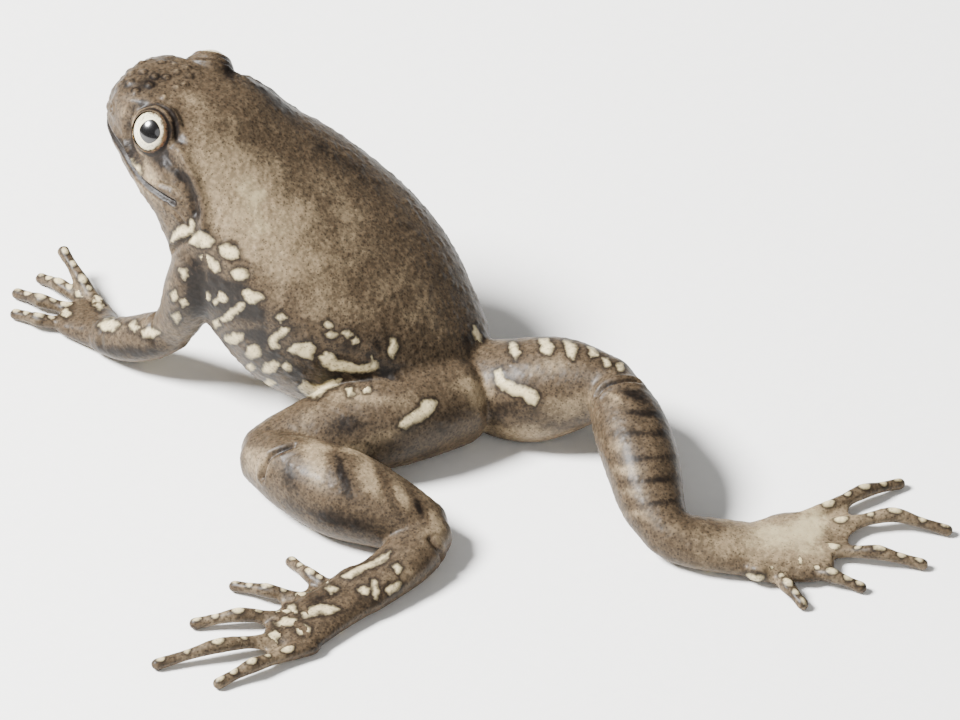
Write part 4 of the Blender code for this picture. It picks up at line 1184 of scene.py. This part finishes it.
class FROG_OT_skin(bpy.types.Operator):
    """Builds the whole skin with its folds, warts and markings"""
    bl_idname = "frog.skin"
    bl_label = "Frog skin"

    def execute(self, context):
        sizes, colours = context.scene.frog_sizes, context.scene.frog_colours
        forms = flesh()
        skin = flowed_skin(forms, sizes)
        open_eyes(skin)
        co, normal = read(skin.data)
        tree = surface(skin.data, co)
        mouth = mouth_line(tree)
        names = part_names(co, forms)
        creases = [laid(crease, tree) for crease in LIMB_CREASES]
        co = sculpt(co, normal, tree, sizes, mouth, creases)
        write(skin.data, scatter_grains(co, normal, names == "body", sizes, mouth))
        co, normal = read(skin.data)
        pale = mark(skin, co, normal, names, mouth, creases)
        co = co + normal * (sizes.blotch_rise / MM * ease(pale, -0.1, 0.2))[:, None]
        co[:, 2] = np.maximum(co[:, 2], SETTLE)
        write(skin.data, (co + np.array(shift())) * MM)
        skin.data.materials.clear()
        skin.data.materials.append(moist_frog_skin(colours))
        skin.data.polygons.foreach_set("use_smooth", np.ones(len(skin.data.polygons), bool))
        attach(skin, "root")
        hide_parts(*[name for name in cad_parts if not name.startswith("eye")])
        return {"FINISHED"}


class FROG_OT_eyes(bpy.types.Operator):
    """Builds both eyeballs with iris and pupil"""
    bl_idname = "frog.eyes"
    bl_label = "Frog eyes"

    def execute(self, context):
        finish = wet_frog_eye(context.scene.frog_colours)
        for side, label in ((1, "left"), (-1, "right")):
            if "eye_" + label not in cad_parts:
                raise RuntimeError("The packed part has no eye_" + label)
            bm = bmesh.new()
            bmesh.ops.create_uvsphere(bm, u_segments=128, v_segments=96, radius=1.0)
            mesh = bpy.data.meshes.new("eyeball_" + label)
            bm.to_mesh(mesh)
            bm.free()
            co = read(mesh)[0]
            wide = np.abs(co[:, 0]) / PUPIL_HALF[0]
            tall = np.abs(co[:, 1]) / PUPIL_HALF[1]
            pupil = (wide ** PUPIL_ROUNDNESS + tall ** PUPIL_ROUNDNESS) ** (1 / PUPIL_ROUNDNESS)
            pupil = np.minimum(np.where(co[:, 2] > 0, pupil, FAR_OFF), FAR_OFF)
            gaze = turn_to(looking(side, GAZE_FORWARD_DEG, GAZE_RISE_DEG))
            # The iris share, each point's angle from the lid's axis, places the painted lid shadow round the
            # iris's rim.
            lid = gaze.to_3x3().transposed() @ looking(side, EYE_FORWARD_DEG, EYE_RISE_DEG)
            iris = np.degrees(np.arccos(np.clip(co @ np.array(lid), -1, 1))) / LID_MARGIN_DEG
            keep(mesh, {"iris": np.minimum(iris, FAR_OFF), "pupil": pupil})
            mesh.transform(gaze @ Matrix.Scale(EYE_RADIUS * MM, 4))
            eye = bpy.data.objects.new("eyeball_" + label, mesh)
            context.scene.collection.objects.link(eye)
            eye.location = (eye_centre(side) + shift()) * MM
            mesh.materials.append(finish)
            mesh.polygons.foreach_set("use_smooth", np.ones(len(mesh.polygons), bool))
            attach(eye, "root")
            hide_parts("eye_" + label)
        return {"FINISHED"}


class FROG_OT_stage(bpy.types.Operator):
    """Sets the floor, the soft lights and the camera"""
    bl_idname = "frog.stage"
    bl_label = "Frog stage"

    def execute(self, context):
        colours, lights = context.scene.frog_colours, context.scene.frog_lights
        corners = [(x * FLOOR_HALF, y * FLOOR_HALF, 0) for x, y in ((-1, -1), (1, -1), (1, 1), (-1, 1))]
        floor = new_object("studio_floor", corners, [(0, 1, 2, 3)])
        floor.data.materials.append(matt_studio_board(colours))
        away, right = -Vector(TOWARD), Vector(RIGHTWARD)
        up = right.cross(away)
        target = (shift() - up * (VIEW_MIDDLE_DOWN - GRID_MIDDLE[1]) * STEP) * MM
        camera = bpy.data.cameras.new("studio_camera")
        camera.sensor_width = FILM_WIDTH
        camera.lens = LENS
        distance_away = GRID_WIDTH * STEP * MM * camera.lens / camera.sensor_width
        camera.clip_start, camera.clip_end = 0.1, 20
        viewer = bpy.data.objects.new("studio_camera", camera)
        context.scene.collection.objects.link(viewer)
        axes = Matrix((right, up, -away)).transposed().to_4x4()
        viewer.matrix_world = Matrix.Translation(target - away * distance_away) @ axes
        context.scene.camera = viewer
        for name, power in (("key", lights.key_power), ("fill", lights.fill_power)):
            place, size = LAMPS[name]
            light = bpy.data.lights.new(name + "_light", "AREA")
            light.shape = "DISK"
            light.size = size
            light.energy = power
            lamp = bpy.data.objects.new(name + "_light", light)
            context.scene.collection.objects.link(lamp)
            lamp.location = place
            lamp.rotation_euler = (-Vector(place)).to_track_quat("-Z", "Y").to_euler()
        world = bpy.data.worlds.new("studio")
        world.use_nodes = True
        sky = world.node_tree.nodes.get("Background")
        if sky is None:
            raise RuntimeError("The studio world has no background to light")
        sky.inputs[0].default_value = (1, 1, 1, 1)
        sky.inputs[1].default_value = lights.sky
        context.scene.world = world
        return {"FINISHED"}


class FROG_PT_panel(bpy.types.Panel):
    """Lists the frog's pieces and settings"""
    bl_idname = "FROG_PT_panel"
    bl_label = "Ground frog"
    bl_space_type = "VIEW_3D"
    bl_region_type = "UI"
    bl_category = "Frog"

    def draw(self, context):
        for kind in OPERATORS:
            self.layout.operator(kind.bl_idname)
        for group in (context.scene.frog_sizes, context.scene.frog_colours, context.scene.frog_lights):
            for name in group.__annotations__:
                self.layout.prop(group, name)


OPERATORS = (FROG_OT_skin, FROG_OT_eyes, FROG_OT_stage)
GROUPS = {"frog_sizes": FrogSizes, "frog_colours": FrogColours, "frog_lights": FrogLights}
CLASSES = tuple(GROUPS.values()) + OPERATORS + (FROG_PT_panel,)


def register():
    """Registers the classes and puts their settings on the scene."""
    for kind in CLASSES:
        bpy.utils.register_class(kind)
    for name, kind in GROUPS.items():
        setattr(bpy.types.Scene, name, PointerProperty(type=kind))


def unregister():
    """Takes the settings and the classes out again."""
    for name in GROUPS:
        delattr(bpy.types.Scene, name)
    for kind in reversed(CLASSES):
        bpy.utils.unregister_class(kind)


def main():
    """Builds everything in order."""
    register()
    bpy.ops.frog.skin()
    bpy.ops.frog.eyes()
    bpy.ops.frog.stage()


if __name__ == "__main__":
    main()
